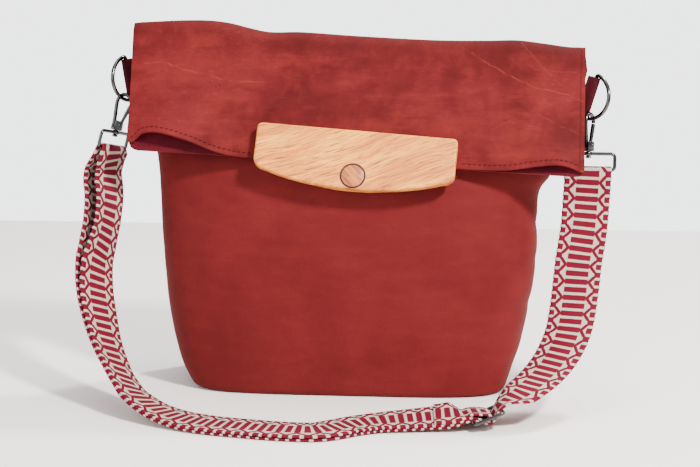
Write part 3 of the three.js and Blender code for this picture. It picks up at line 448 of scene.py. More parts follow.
def smooth(value, low, high):
    """0 below low, 1 above high and smooth between."""
    t = min(max((value - low) / (high - low), 0), 1)
    return t * t * (3 - 2 * t)


def slope_at(x):
    return -tan(FOLD_DROP) * (x - TOP_SHIFT)


def fold_axis(across, wave=1):
    x = TOP_SHIFT + across * HALF_WIDTH
    return Vector((x, FOLD_BACK, FOLD_HEIGHT + slope_at(x) + wave * fold_wave(across) * FLAP_LENGTH))


def seam_back(share):
    return SEAM_BACK * smooth(share, SEAM_BACK_FROM, FOLD_SHARE)


def evenly(curve, count):
    """The same curve as count + 1 points at equal distances."""
    reach = lengths_along(curve)
    points = []
    i = 1
    for k in range(count + 1):
        goal = reach[-1] * k / count
        while i < len(reach) - 1 and reach[i] < goal:
            i += 1
        points.append(curve[i - 1].lerp(curve[i], (goal - reach[i - 1]) / (reach[i] - reach[i - 1])))
    return points


def section_row(share, side):
    """Half of a section of the body, seam to seam; side is -1 for the front panel."""
    left, right = section["left"](share) * HALF_WIDTH, section["right"](share) * HALF_WIDTH
    depth = section["front" if side < 0 else "back"](share) * BASE_HALF_DEPTH
    power, flat = section["squareness"](share), section["flatness"](share)
    seam = GAP / 2 + flat * (LEATHER + FOLD_AIR / 2)
    curve = []
    steps = 200
    for i in range(steps + 1):
        a = pi * (1 - i / steps)
        round_x = (1 if cos(a) > 0 else -1) * abs(cos(a)) ** (2 / power)
        x = mix(round_x, -1 + 2 * i / steps, flat)
        bulge = mix(max(sin(a), 0) ** (2 / power), max(1 - x * x, 0) ** 0.7, flat)
        z = STAND_HEIGHT * share + share * share * slope_at(x * HALF_WIDTH)
        y = side * (seam + max(depth - seam, 0) * bulge) - seam_back(share)
        curve.append(Vector((x * (left if x < 0 else right), y, z)))
    return evenly(curve, COLUMNS)


def across_of(column):
    return -1 + 2 * column / COLUMNS


def rear_ply(s):
    """How far a ply lies out from the fold's axis, s down the flap."""
    return mix(FOLD_CORE, PLY_REST, smooth(s, 0, PLY_SETTLED))


def outer_ply(s):
    return rear_ply(s) + 2 * LEATHER + mix(FOLD_AIR, PLY_AIR, smooth(s, 0, PLY_SETTLED))


def hem_at(across, outer):
    """How far down a ply's hem lies. It rises where the mouth gapes and where a side seam rounds off."""
    t = min(max((abs(across) - CORNER_FROM) / (1 - CORNER_FROM), 0), 1)
    corner = (CORNER_LIFT_LEFT if across < 0 else CORNER_LIFT_RIGHT) * (1 - sqrt(1 - t * t))
    return FLAP_LENGTH * (1 - (mouth_lift(across) if outer else 0) - corner)


def flap_point(across, share, outer, lift=0):
    """A point of a ply at a share of the way from its fold to its hem, lifted off its inner face."""
    s = share * hem_at(across, outer)
    off = outer_ply(s) + FLAP_LENGTH * mouth_gape(across) * share ** 3 if outer else rear_ply(s)
    return fold_axis(across, (1 - share) ** 3) + flap_down * s + flap_face * (off + lift)


def flap_row(share, outer):
    return [flap_point(across_of(column), share, outer) for column in range(COLUMNS + 1)]


def fold_row(radius, angle):
    turn = Vector((0, radius * cos(angle), radius * sin(angle)))
    return [fold_axis(across_of(column)) + turn for column in range(COLUMNS + 1)]


BASE_STEPS = 8
WALL_STEPS = 84
BRIDGE_STEPS = 5
FOLD_STEPS = 12
FLAP_STEPS = 40


def panel_rows(side):
    """All rows of one panel, from the seam under the base to the hem of the flap."""
    outer = side > 0
    edge = section_row(0, side)
    rows = []
    for k in range(BASE_STEPS):
        t = (k / BASE_STEPS) ** 0.7
        row = []
        for column, p in enumerate(edge):
            end = mix(edge[0].x, edge[-1].x, column / COLUMNS)
            seam = side * GAP / 2 + BASE_SEAM_BOW * (1 - across_of(column) ** 2)
            row.append(Vector((mix(end, p.x, t), mix(seam, p.y, t), 0)))
        rows.append(row)
    for k in range(WALL_STEPS + 1):
        rows.append(section_row(FOLD_SHARE * (k / WALL_STEPS) ** 1.15, side))
    front_turn = pi / 2 + FLAP_LEAN
    radius = FOLD_RADIUS if outer else FOLD_CORE
    start = FLAP_LEAN if outer else front_turn - pi
    first = fold_row(radius, start)
    top = rows[-1]
    for k in range(1, BRIDGE_STEPS):
        rows.append([a.lerp(b, k / BRIDGE_STEPS) for a, b in zip(top, first)])
    for k in range(FOLD_STEPS + 1):
        rows.append(fold_row(radius, mix(start, front_turn, k / FOLD_STEPS)))
    for k in range(1, FLAP_STEPS + 1):
        rows.append(flap_row(k / FLAP_STEPS, outer))
    return rows


PLATE_LEFT, PLATE_RIGHT, PLATE_TOP = -76, 97, 78
PLATE_PRESS = 22
WALL_FROM = 30
CORNER_FOLD_AT, CORNER_FOLD_LEAN, CORNER_FOLD_HALF, CORNER_FOLD_DEPTH = 118, 0.22, 13, 1.3
DENT_X, DENT_Z, DENT_HALF_WIDTH, DENT_HALF_HEIGHT, DENT_DEPTH = 152, 172, 15, 24, 3
CREASES = ((141, 1.1), (112, 0.9), (74, 0.7))
CREASE_RISE, CREASE_HALF, CREASE_FROM, CREASE_FULL = 0.18, 5.5, 112, 150
HEM_TURN, HEM_STEP, HEM_ROLL, HEM_EDGE = 9.5, 0.55, 2.2, 0.7


def wall_push(x, y, z, u, side):
    """How far the body's wall swells: uneven hide, folds from the lower corners, a dent and creases."""
    soft = noise.noise(Vector((x / 74, y / 60 + side * 5, z / 66)))
    small = noise.noise(Vector((x / 27, z / 21, side * 9)))
    push = smooth(z, 4, 40) * (1.7 * soft + 0.45 * small) * (1 - smooth(abs(u), HALF_WIDTH - 9, HALF_WIDTH))
    off_fold = abs(x) - CORNER_FOLD_AT + CORNER_FOLD_LEAN * (z - 20)
    fold_fades = smooth(z, 6, 30) * (1 - smooth(z, 60, 150))
    push -= CORNER_FOLD_DEPTH * exp(-(off_fold / CORNER_FOLD_HALF) ** 2) * fold_fades
    off_dent = ((x - DENT_X) / DENT_HALF_WIDTH) ** 2 + ((z - DENT_Z) / DENT_HALF_HEIGHT) ** 2
    push -= DENT_DEPTH * exp(-off_dent)
    for crease_z, depth in CREASES:
        off_crease = z - crease_z - CREASE_RISE * (x - CREASE_FULL)
        push -= depth * exp(-(off_crease / CREASE_HALF) ** 2) * smooth(x, CREASE_FROM, CREASE_FULL)
    return push


def flap_push(u, s, side):
    """How far the flap swells, s down from its fold; it lies flat under the oak plate."""
    soft = noise.noise(Vector((u / 58, s / 34, side * 3 + 7)))
    small = noise.noise(Vector((u / 19, s / 15, side * 4)))
    pressed = smooth(u, PLATE_LEFT - PLATE_PRESS, PLATE_LEFT - 4)
    pressed *= 1 - smooth(u, PLATE_RIGHT + 4, PLATE_RIGHT + PLATE_PRESS)
    pressed *= smooth(s, PLATE_TOP - PLATE_PRESS, PLATE_TOP - 4)
    push = (0.55 * soft + 0.18 * small) * (1 - pressed) * smooth(abs(s), 2, 26)
    if side > 0:
        push += HEM_STEP * smooth(s, FLAP_LENGTH - HEM_TURN, FLAP_LENGTH - HEM_TURN + 2) * (1 - pressed)
        push -= HEM_EDGE * smooth(s, FLAP_LENGTH - HEM_ROLL, FLAP_LENGTH) * (1 - pressed)
    return push - PLY_AIR * 0.45 * smooth(abs(u), HALF_WIDTH - 5.5, HALF_WIDTH - 0.5)


def leather_panel(side):
    """One panel with the soft unevenness of hide, its rolled hem and its drawn-in side seams."""
    rows = panel_rows(side)
    middle = COLUMNS // 2
    reach = lengths_along([row[middle] for row in rows])
    fold_at = reach[-1 - FLAP_STEPS]

    def flat(r, c):
        return (across_of(c) * HALF_WIDTH * MM, (reach[r] - fold_at) * MM)

    bm = grid_sheet(len(rows) - 1, COLUMNS, lambda r, c: rows[r][c], flat)
    layer = bm.loops.layers.uv["weave"]
    cell = {loop.vert: loop[layer].uv / MM for face in bm.faces for loop in face.loops}
    bm.normal_update()
    half_way = rows[BASE_STEPS + WALL_STEPS // 2][middle]
    probe = min(bm.verts, key=lambda v: (v.co - half_way).length)
    if probe.normal.y * side < 0:
        bmesh.ops.reverse_faces(bm, faces=bm.faces)
        bm.normal_update()
    for v in bm.verts:
        u, s = cell[v]
        push = wall_push(*v.co, u, side) if s < -WALL_FROM else flap_push(u, s, side)
        v.co += v.normal * push
        v.co.z = max(v.co.z, 0)
    soften = [v for v in bm.verts if -50 < cell[v].y < -8 and abs(cell[v].x) < HALF_WIDTH - 4]
    for _ in range(4):
        bmesh.ops.smooth_vert(
            bm, verts=soften, factor=0.5, use_axis_x=True, use_axis_y=True, use_axis_z=True,
        )
    return bm


def scar_mask(tree, where, line, width, wobble):
    """1 on a scratch that runs through chosen points of the flap and 0 off it."""
    total = None
    for (ax, ay), (bx, by) in zip(line, line[1:]):
        length = sqrt((bx - ax) ** 2 + (by - ay) ** 2)
        centre = ((ax + bx) / 2 * MM, (ay + by) / 2 * MM, 0)
        turn = atan2(by - ay, bx - ax)
        local = node(tree, "Mapping", {
            "Vector": where, "Location": centre, "Rotation": (0, 0, turn),
        }, vector_type="TEXTURE").outputs[0]
        parts = node(tree, "SeparateXYZ", {0: local})
        along = maths(tree, "ABSOLUTE", parts.outputs[0])
        off = maths(tree, "ABSOLUTE", maths(tree, "ADD", parts.outputs[1], wobble))
        near = soft_step(tree, off, 0.1 * width * MM, 0.75 * width * MM, invert=True)
        inside = soft_step(tree, along, (length / 2 - 1) * MM, (length / 2 + 3) * MM, invert=True)
        hit = times(tree, near, inside)
        total = hit if total is None else maths(tree, "MAXIMUM", total, hit)
    return total


# Scars of the hide on the flap: points in millimetres from the bag's middle and down from the fold
SCARS = (
    (1.3, 0.42, ((90, 6), (126, 28), (153, 39), (180, 44), (199, 49))),
    (1.0, 0.3, ((139, 1), (157, 20), (177, 37))),
    (0.9, 0.26, ((151, 23), (185, 22), (193, 25))),
    (1.7, 0.34, ((-182, 40), (-167, 38), (-151, 43), (-127, 45), (-116, 47), (-81, 45))),
    (1.2, 0.25, ((-181, 49), (-162, 47))),
    (1.1, 0.22, ((150, 60), (168, 72), (190, 78))),
    (1.0, 0.2, ((118, 74), (134, 66), (146, 68))),
)
SCAR_PALE = (0.21, 0.03, 0.02)
SPECKS = (
    (-117, 52, 1.3), (-125, 51, 1.0), (-142, 69, 1.2), (-141, 72, 0.9), (-120, 53.5, 0.9), (60, 44, 0.8),
)
SPECK_DARK = (0.035, 0.008, 0.008)
SIDE_SEAM = 190
BRICK = (0.108, 0.0088, 0.0098)
BRICK_DEEP = (0.046, 0.0029, 0.0032)
BRICK_LIGHT = (0.155, 0.0155, 0.0135)
MAROON = (0.06, 0.003, 0.0085)
MAROON_DEEP = (0.035, 0.002, 0.005)
MAROON_LIGHT = (0.09, 0.006, 0.013)


def flap_marks(tree, uv, place, on_flap, deep, colour, height):
    """Adds the side seam's groove, darkened as painted shade, the scars and the specks to the colour and the
    relief.
    """
    from_seam = maths(tree, "SUBTRACT", node(tree, "SeparateXYZ", {0: uv}).outputs[0], SIDE_SEAM * MM)
    from_seam = maths(tree, "ABSOLUTE", from_seam)
    groove = times(tree, soft_step(tree, from_seam, 0.2 * MM, 1.1 * MM, invert=True), on_flap)
    # Painted shade: the colour is darkened along the seam's groove.
    colour = blend_colour(tree, times(tree, groove, 0.5), colour, deep)
    height = maths(tree, "SUBTRACT", height, groove)
    wobble = maths(tree, "MULTIPLY_ADD", grain(tree, place, 60), 6 * MM, -3 * MM)
    broken = soft_step(tree, grain(tree, place, 130), 0.3, 0.62)
    for width, strength, line in SCARS:
        hit = times(tree, scar_mask(tree, uv, line, width, wobble), broken)
        colour = blend_colour(tree, times(tree, hit, strength), colour, SCAR_PALE)
        height = maths(tree, "SUBTRACT", height, times(tree, hit, 0.35))
    ragged = maths(tree, "MULTIPLY_ADD", grain(tree, place, 900), 1.2 * MM, -0.6 * MM)
    for x, below, radius in SPECKS:
        centre = (x * MM, below * MM, 0)
        local = node(tree, "Mapping", {"Vector": uv, "Location": centre}, vector_type="TEXTURE").outputs[0]
        away = node(tree, "VectorMath", {0: local}, operation="LENGTH").outputs["Value"]
        away = maths(tree, "ADD", away, ragged)
        spot = soft_step(tree, away, 0.3 * radius * MM, radius * MM, invert=True)
        colour = blend_colour(tree, times(tree, spot, 0.8), colour, SPECK_DARK)
        height = maths(tree, "SUBTRACT", height, times(tree, spot, 0.6))
    return colour, height


def nubuck_material(name, base, deep, light, marked=False):
    """Brushed leather: cloudy colour, painted shade along the fold, a fine nap, pores, and on the flap its
    scars and specks.
    """
    material, tree, shader = new_material(name)
    uv = node(tree, "UVMap", uv_map="weave").outputs[0]
    place = node(tree, "TexCoord").outputs["Object"]
    clouds = grain(tree, place, 11, detail=4, rough=0.6, distortion=0.6)
    patches = grain(tree, place, 34, detail=5, rough=0.65, distortion=0.3)
    stroke_way = node(tree, "Mapping", {"Vector": place, "Scale": (24, 24, 110)}).outputs[0]
    strokes = grain(tree, stroke_way, 1, detail=5, rough=0.6)
    scuff_way = node(tree, "Mapping", {
        "Vector": place, "Scale": (170, 170, 420), "Rotation": (0, radians(12), 0),
    }).outputs[0]
    scuffs = grain(tree, scuff_way, 1, detail=5, rough=0.75, distortion=0.8)
    nap = grain(tree, place, 1500, detail=4, rough=0.7)
    pores = node(tree, "TexVoronoi", {"Vector": place, "Scale": 520}, feature="F1").outputs["Distance"]

    # The flap is brushed and worn most; each layer is a mask, its share and the colour that it blends in,
    # and the layer along the fold is painted shade
    down = node(tree, "SeparateXYZ", {0: uv}).outputs[1]
    on_flap = soft_step(tree, down, -0.05, -0.01)
    worn = maths(tree, "MULTIPLY_ADD", on_flap, 0.62, 0.38)
    scuffed = times(tree, soft_step(tree, scuffs, 0.5, 0.78), soft_step(tree, clouds, 0.45, 0.62))
    # Painted shade: the leather is darkened within a few centimetres of the fold, on the flap and on the
    # body below it.
    ragged = maths(tree, "MULTIPLY_ADD", patches, 0.05, -0.025)
    from_fold = maths(tree, "ADD", maths(tree, "ABSOLUTE", down), ragged)
    painted_fold_shade = soft_step(tree, from_fold, 0.004, 0.034, invert=True)
    colour = base
    for mask, share, tint in (
        (soft_step(tree, clouds, 0.3, 0.7, invert=True), times(tree, worn, 0.9), deep),
        (soft_step(tree, patches, 0.42, 0.74), times(tree, worn, 0.5), light),
        (soft_step(tree, strokes, 0.48, 0.72), times(tree, worn, 0.42), light),
        (soft_step(tree, strokes, 0.28, 0.46, invert=True), times(tree, worn, 0.4), deep),
        (painted_fold_shade, 0.5, deep),
        (scuffed, times(tree, worn, 0.55), tuple(1.25 * c for c in light)),
    ):
        colour = blend_colour(tree, times(tree, mask, share), colour, tint)
    colour = shaded_by(tree, colour, maths(tree, "MULTIPLY_ADD", nap, 0.36, 0.82))
    height = maths(tree, "MULTIPLY_ADD", nap, 0.5, times(tree, patches, 0.9))
    height = maths(tree, "ADD", height, times(tree, soft_step(tree, pores, 0.05, 0.32), 0.18))
    if marked:
        colour, height = flap_marks(tree, uv, place, on_flap, deep, colour, height)
    tree.links.new(colour, shader.inputs["Base Color"])
    tree.links.new(maths(tree, "MULTIPLY_ADD", patches, 0.22, 0.6), shader.inputs["Roughness"])
    shader.inputs["Specular IOR Level"].default_value = 0.07
    shader.inputs["Sheen Weight"].default_value = 0.025
    shader.inputs["Sheen Roughness"].default_value = 0.4
    shader.inputs["Sheen Tint"].default_value = (1.0, 0.42, 0.36, 1)
    relief(tree, shader, height, 0.42, 0.6 * MM)
    return material


nubuck = nubuck_material("nubuck", BRICK, BRICK_DEEP, BRICK_LIGHT, marked=True)
flesh_side = nubuck_material("flesh_side", MAROON, MAROON_DEEP, MAROON_LIGHT)
hide = [nubuck, flesh_side]
front_leather = finished("front_leather", leather_panel(-1), hide, "bag", "front_panel")
back_leather = finished("back_leather", leather_panel(1), hide, "bag", "back_panel")
for panel in (front_leather, back_leather):
    modifier(panel, "SOLIDIFY", thickness=LEATHER * MM, offset=-1, material_offset=1)
    modifier(
        panel, "BEVEL", width=LEATHER_RIM * MM, segments=3, limit_method="ANGLE", angle_limit=radians(60),
    )

# Stitching of the hems
# Single rows of dark red thread, one along the inside of the rear ply's hem, where the mouth shows
# it, and one along the outer ply's hem. Each stitch is a short round-ended thread. A few white lock
# stitches show at the left of the outer hem's edge.
STITCH_LENGTH = 3.1
STITCH_PITCH = 4.3
STITCH_SLANT = radians(7)
THREAD = 0.28
OUTER_ROW = 4.2
REAR_ROW = 4.5
LOCK_FROM, LOCK_TO, LOCK_ROW = -0.865, -0.775, 0.6
LOCK_LENGTH, LOCK_PITCH, LOCK_THREAD = 2.4, 2.2, 0.42
DARK_RED = (0.05, 0.0034, 0.0045)
OFF_WHITE = (0.75, 0.7, 0.66)


def hem_line(first, last, up, outer, lift):
    """Points along a hem, up from its edge, between two shares of the width."""
    steps = 120
    shares = [mix(first, last, k / steps) for k in range(steps + 1)]
    return [flap_point(across, 1 - up / hem_at(across, outer), outer, lift) for across in shares]


def stitch_row(bm, line, radius=THREAD, length=STITCH_LENGTH, pitch=STITCH_PITCH):
    """Lays stitches along a line on the flap's face."""
    reach = lengths_along(line)
    i = 0
    for k in range(int(reach[-1] / pitch)):
        goal = (k + 0.5) * pitch
        while i < len(reach) - 2 and reach[i + 1] < goal:
            i += 1
        a, b = line[i], line[i + 1]
        ahead = (b - a).normalized()
        side = flap_face.cross(ahead).normalized()
        turn = Matrix((ahead, side, ahead.cross(side))).transposed().to_4x4()
        at = a.lerp(b, (goal - reach[i]) / (reach[i + 1] - reach[i]))
        stretch = Matrix.Diagonal((length / 2, radius, radius, 1))
        place = Matrix.Translation(at) @ turn @ Matrix.Rotation(STITCH_SLANT, 4, "Z") @ stretch
        place = place @ Matrix.Rotation(pi / 2, 4, "Y")
        bmesh.ops.create_uvsphere(bm, u_segments=8, v_segments=6, radius=1, matrix=place)


def thread_material(name, colour):
    material, tree, shader = new_material(name)
    strands = grain(tree, node(tree, "TexCoord").outputs["Object"], 1800, detail=2)
    worn = blend_colour(tree, strands, tuple(0.6 * c for c in colour), colour)
    tree.links.new(worn, shader.inputs["Base Color"])
    shader.inputs["Roughness"].default_value = 0.75
    shader.inputs["Specular IOR Level"].default_value = 0.1
    relief(tree, shader, strands, 0.5, 0.2 * MM)
    return material


plate_from, plate_to = (PLATE_LEFT - TOP_SHIFT) / HALF_WIDTH, (PLATE_RIGHT - TOP_SHIFT) / HALF_WIDTH
stitches = bmesh.new()
stitch_row(stitches, hem_line(-0.985, plate_from - 0.01, OUTER_ROW, True, 0.6))
stitch_row(stitches, hem_line(plate_to + 0.01, 0.985, OUTER_ROW, True, 0.6))
stitch_row(stitches, hem_line(-0.98, 0.98, REAR_ROW, False, LEATHER + 0.08))
finished("hem_stitches", stitches, [thread_material("red_thread", DARK_RED)], "bag")
lock = bmesh.new()
stitch_row(lock, hem_line(LOCK_FROM, LOCK_TO, LOCK_ROW, True, -0.9), LOCK_THREAD, LOCK_LENGTH, LOCK_PITCH)
finished("lock_stitches", lock, [thread_material("white_thread", OFF_WHITE)], "bag")

# Side tabs
# A strap of darker leather doubled round each D ring's bar, its two ends sewn into the side seam.
TAB_HEIGHT = 33
TAB_EDGE = 0.45
RING_WIRE = 1.7
RING_INNER = 35
RING_REACH = 23
DARK_MAROON = (0.045, 0.0028, 0.006)
DARK_MAROON_DEEP = (0.026, 0.0018, 0.004)
DARK_MAROON_LIGHT = (0.075, 0.006, 0.009)
# What differs from side to side: lengths in millimetres, bar_height as a share of STAND_HEIGHT, and
# angles in degrees
SIDES = (
    {
        "name": "left", "side": -1, "bar_reach": 13, "bar_height": 0.87, "bar_lean": 8.4, "ring_turn": 23,
        "ring_sag": 16, "hang": -62, "hook_up": Vector((0.235, 0.14, 0.96)), "gate_turn": 0,
        "loop_along": Vector((-0.3, -0.9, 0.3)),
    },
    {
        "name": "right", "side": 1, "bar_reach": 7.8, "bar_height": 0.832, "bar_lean": 16.7, "ring_turn": 39,
        "ring_sag": 10, "hang": -70, "hook_up": Vector((0, 0.12, 0.99)), "gate_turn": 57,
        "loop_along": Vector((-1, 0, -0.04)),
    },
)


def body_side(side, height):
    """How far out the body's side seam stands at one height."""
    def out(share):
        return side * HALF_WIDTH * section["left" if side < 0 else "right"](share)

    share = height / STAND_HEIGHT
    for _ in range(4):
        share = (height - share * share * slope_at(out(share))) / STAND_HEIGHT
    return out(share)


def frame_of(origin, x, y, z):
    turned = Matrix((x, y, z)).transposed().to_4x4()
    turned.translation = origin
    return turned


def square_to(direction, normal):
    return (direction - normal * direction.dot(normal)).normalized()


def rounded(bm, edges, width, segments):
    bmesh.ops.bevel(
        bm, geom=edges, offset=width, offset_type="OFFSET", segments=segments, affect="EDGES",
        profile=0.5, material=-1,
    )


def drawn_out(corners, depth, sharp, width, segments):
    """An outline drawn out by a depth, with its edges rounded where they are sharper than an angle."""
    bm = bmesh.new()
    face = bm.faces.new([bm.verts.new(corner) for corner in corners])
    made = bmesh.ops.extrude_face_region(bm, geom=[face])
    lifted = [v for v in made["geom"] if isinstance(v, bmesh.types.BMVert)]
    bmesh.ops.translate(bm, vec=depth, verts=lifted)
    bmesh.ops.recalc_face_normals(bm, faces=bm.faces)
    edges = [e for e in bm.edges if len(e.link_faces) == 2 and e.calc_face_angle(0) > radians(sharp)]
    rounded(bm, edges, width, segments)
    return bm


def tab_shape(length):
    """The doubled leather seen along the ring's bar, drawn as one closed outline and drawn out along it."""
    inner = RING_WIRE + GAP
    slit = GAP / 2
    neck = 2.6 * RING_WIRE + inner

    def arc(radius, start, end):
        turns = [radians(mix(start, end, k / 16)) for k in range(17)]
        return [(radius * cos(a), radius * sin(a)) for a in turns]

    outline = [(length, slit + LEATHER), (neck, slit + LEATHER), *arc(inner + LEATHER, 62, 298)]
    outline += [(neck, -slit - LEATHER), (length, -slit - LEATHER), (length, -slit), (neck, -slit)]
    outline += [*arc(inner, 305, 55), (neck, slit), (length, slit)]
    corners = [(x, y, -TAB_HEIGHT / 2) for x, y in outline]
    return drawn_out(corners, (0, 0, TAB_HEIGHT), 60, TAB_EDGE, 2)


tab_leather = nubuck_material("tab_leather", DARK_MAROON, DARK_MAROON_DEEP, DARK_MAROON_LIGHT)
for it in SIDES:
    side, name = it["side"], it["name"]
    lean = radians(it["bar_lean"])
    up = it["bar_up"] = Vector((side * sin(lean), 0, cos(lean)))
    height = it["bar_height"] * STAND_HEIGHT
    out = body_side(side, height) + side * it["bar_reach"]
    middle = it["bar_middle"] = Vector((out, -seam_back(it["bar_height"]), height))
    inward = square_to(Vector((-side, 0, 0)), up)
    ends = [middle + up * along for along in (-TAB_HEIGHT / 2, 0, TAB_HEIGHT / 2)]
    root = min(abs(p.x - body_side(side, p.z)) * up.z - 2 * GAP for p in ends)
    finished(
        f"leather_tab_{name}", tab_shape(root), [tab_leather], "bag", f"tab_{name}",
        frame_of(middle, inward, up.cross(inward), up),
    )

# D rings
# Closed rings of round black-nickel wire, their straight side held in the tab and the bow swung
# forward. The bow has a slightly flattened crown, as rings bent on a mandrel have.
GUNMETAL = (0.085, 0.08, 0.08)
WIRE_SIDES = 20


def gunmetal_material():
    """Black nickel with smears of handling and faint drawn scratches."""
    material, tree, shader = new_material("gunmetal")
    place = node(tree, "TexCoord").outputs["Object"]
    smear = grain(tree, place, 260, detail=4)
    colour = blend_colour(tree, smear, tuple(0.72 * c for c in GUNMETAL), GUNMETAL)
    tree.links.new(colour, shader.inputs["Base Color"])
    tree.links.new(maths(tree, "MULTIPLY_ADD", smear, 0.16, 0.14), shader.inputs["Roughness"])
    shader.inputs["Metallic"].default_value = 1.0
    scratch_way = node(tree, "Mapping", {"Vector": place, "Scale": (400, 400, 2600)}).outputs[0]
    relief(tree, shader, grain(tree, scratch_way, 1), 0.08, 0.2 * MM)
    return material


def wire(bm, points, radius, closed, normal=Vector((0, 1, 0))):
    """Sweeps a round section along points that lie in one plane, whose normal is given."""
    rings = []
    count = len(points)
    for i, p in enumerate(points):
        ahead = points[(i + 1) % count] if closed else points[min(i + 1, count - 1)]
        behind = points[i - 1] if closed or i else points[0]
        direction = (ahead - behind).normalized()
        place = frame_of(p, normal.cross(direction), normal, direction)
        made = bmesh.ops.create_circle(bm, cap_ends=False, segments=WIRE_SIDES, radius=radius, matrix=place)
        rings.append(made["verts"])
    following = rings[1:] + rings[:1] if closed else rings[1:]
    for a, b in zip(rings, following):
        for k in range(WIRE_SIDES):
            m = (k + 1) % WIRE_SIDES
            bm.faces.new((a[k], a[m], b[m], b[k]))
    if not closed:
        for ring in (rings[0], rings[-1]):
            cap = bm.faces.new(ring)
            bmesh.ops.inset_region(bm, faces=[cap], thickness=radius * 0.35, depth=radius * 0.3)
    bmesh.ops.recalc_face_normals(bm, faces=bm.faces)


def ring_line():
    """Points (out, along the bar): the bow, and the straight bar with a tight bend at each end."""
    half = RING_INNER / 2 + RING_WIRE
    bow = [radians(mix(-84, 84, k / 40)) for k in range(41)]
    bend = [(1.0, half * 0.975), (0.3, half * 0.93), (0, half * 0.86), (0, half * 0.4)]
    line = [(RING_REACH * cos(a), half * sin(a)) for a in bow] + bend + [(0, 0)]
    return line + [(out, -along) for out, along in reversed(bend)]


gunmetal = gunmetal_material()
for it in SIDES:
    turn = radians(it["ring_turn"])
    out = Vector((it["side"] * sin(turn), -cos(turn), -tan(radians(it["ring_sag"]))))
    it["ring_out"] = square_to(out, it["bar_up"])
    plane = it["ring_out"].cross(it["bar_up"]).normalized()
    points = [it["bar_middle"] + it["ring_out"] * o + it["bar_up"] * b for o, b in ring_line()]
    ring = bmesh.new()
    wire(ring, points, RING_WIRE, True, plane)
    finished(f"ring_{it['name']}", ring, [gunmetal], "bag", f"d_ring_{it['name']}")

# Snap hooks
# Each hook is a bow of cast wire on a square block that carries the lever's pin between two cheeks,
# with a swivel stud and its ball head below. Zinc alloy, plated black.
HOOK_WIRE = 1.7
HOOK_RISE = 27.6
BLOCK_WIDTH, BLOCK_HEIGHT, BLOCK_DEPTH = 9.4, 8.6, 6.4
BLOCK_EDGE, CHEEK_EDGE = 0.7, 0.45
SLOT = 2.6
SLOT_BELOW = 2.4
SLOT_BACK = -1.2
PIVOT_U, PIVOT_H, PIVOT_RADIUS = 2.5, 0.9, 0.8
RIVET_RADIUS = 1.35
STUD_RADIUS, STUD_HEAD, STUD_HEAD_HEIGHT = 1.5, 2.7, 2.1
STUD_SEAT = 1
LOOP_WIRE = 1.5
# The bow from its root to its nose, in shares of HOOK_RISE towards the gate and up
HOOK_LINE = (
    (-0.115, 0.05), (-0.14, 0.3), (-0.172, 0.58), (-0.178, 0.77), (-0.12, 0.92), (0.02, 1),
    (0.16, 0.955), (0.25, 0.84), (0.27, 0.715),
)
EYE_HEIGHT = 2 * LOOP_WIRE + 0.4
EYE_TOP = -BLOCK_HEIGHT / 2 - GAP
STUD_TOP = -BLOCK_HEIGHT / 2 + STUD_SEAT
STUD_LENGTH = STUD_SEAT + GAP + EYE_HEIGHT + GAP + STUD_HEAD_HEIGHT
HANG_U, HANG_H = 0.8, HOOK_RISE - HOOK_WIRE - RING_WIRE - 3 * GAP


def through(points, steps):
    """A smooth line through chosen points."""
    readers = [reader([(k, p[axis]) for k, p in enumerate(points)]) for axis in range(3)]
    return [Vector([read(k / steps) for read in readers]) for k in range((len(points) - 1) * steps + 1)]


def turned(profile, segments, place=None, closed=False):
    """A profile of (radius, height) spun about Z; an open one starts and ends on the axis."""
    bm = bmesh.new()
    verts = [bm.verts.new((r, 0, h)) for r, h in profile]
    edges = [bm.edges.new(pair) for pair in zip(verts, verts[1:] + verts[:1] if closed else verts[1:])]
    bmesh.ops.spin(
        bm, geom=verts + edges, axis=(0, 0, 1), cent=(0, 0, 0), angle=2 * pi, steps=segments, use_merge=True,
    )
    bmesh.ops.remove_doubles(bm, verts=bm.verts, dist=1e-4)
    bmesh.ops.recalc_face_normals(bm, faces=bm.faces)
    if place is not None:
        bm.transform(place)
    return bm


def box(bm, low, high, edge):
    """A block between two corners with its edges rounded."""
    made = bmesh.ops.create_cube(bm, size=1)["verts"]
    for v in made:
        v.co = [mix(low[k], high[k], v.co[k] + 0.5) for k in range(3)]
    rounded(bm, list(dict.fromkeys(e for v in made for e in v.link_edges)), edge, 3)


def join(bm, other):
    """Adds another shape to this one."""
    mesh = bpy.data.meshes.new("join")
    other.to_mesh(mesh)
    other.free()
    bm.from_mesh(mesh)
    bpy.data.meshes.remove(mesh)


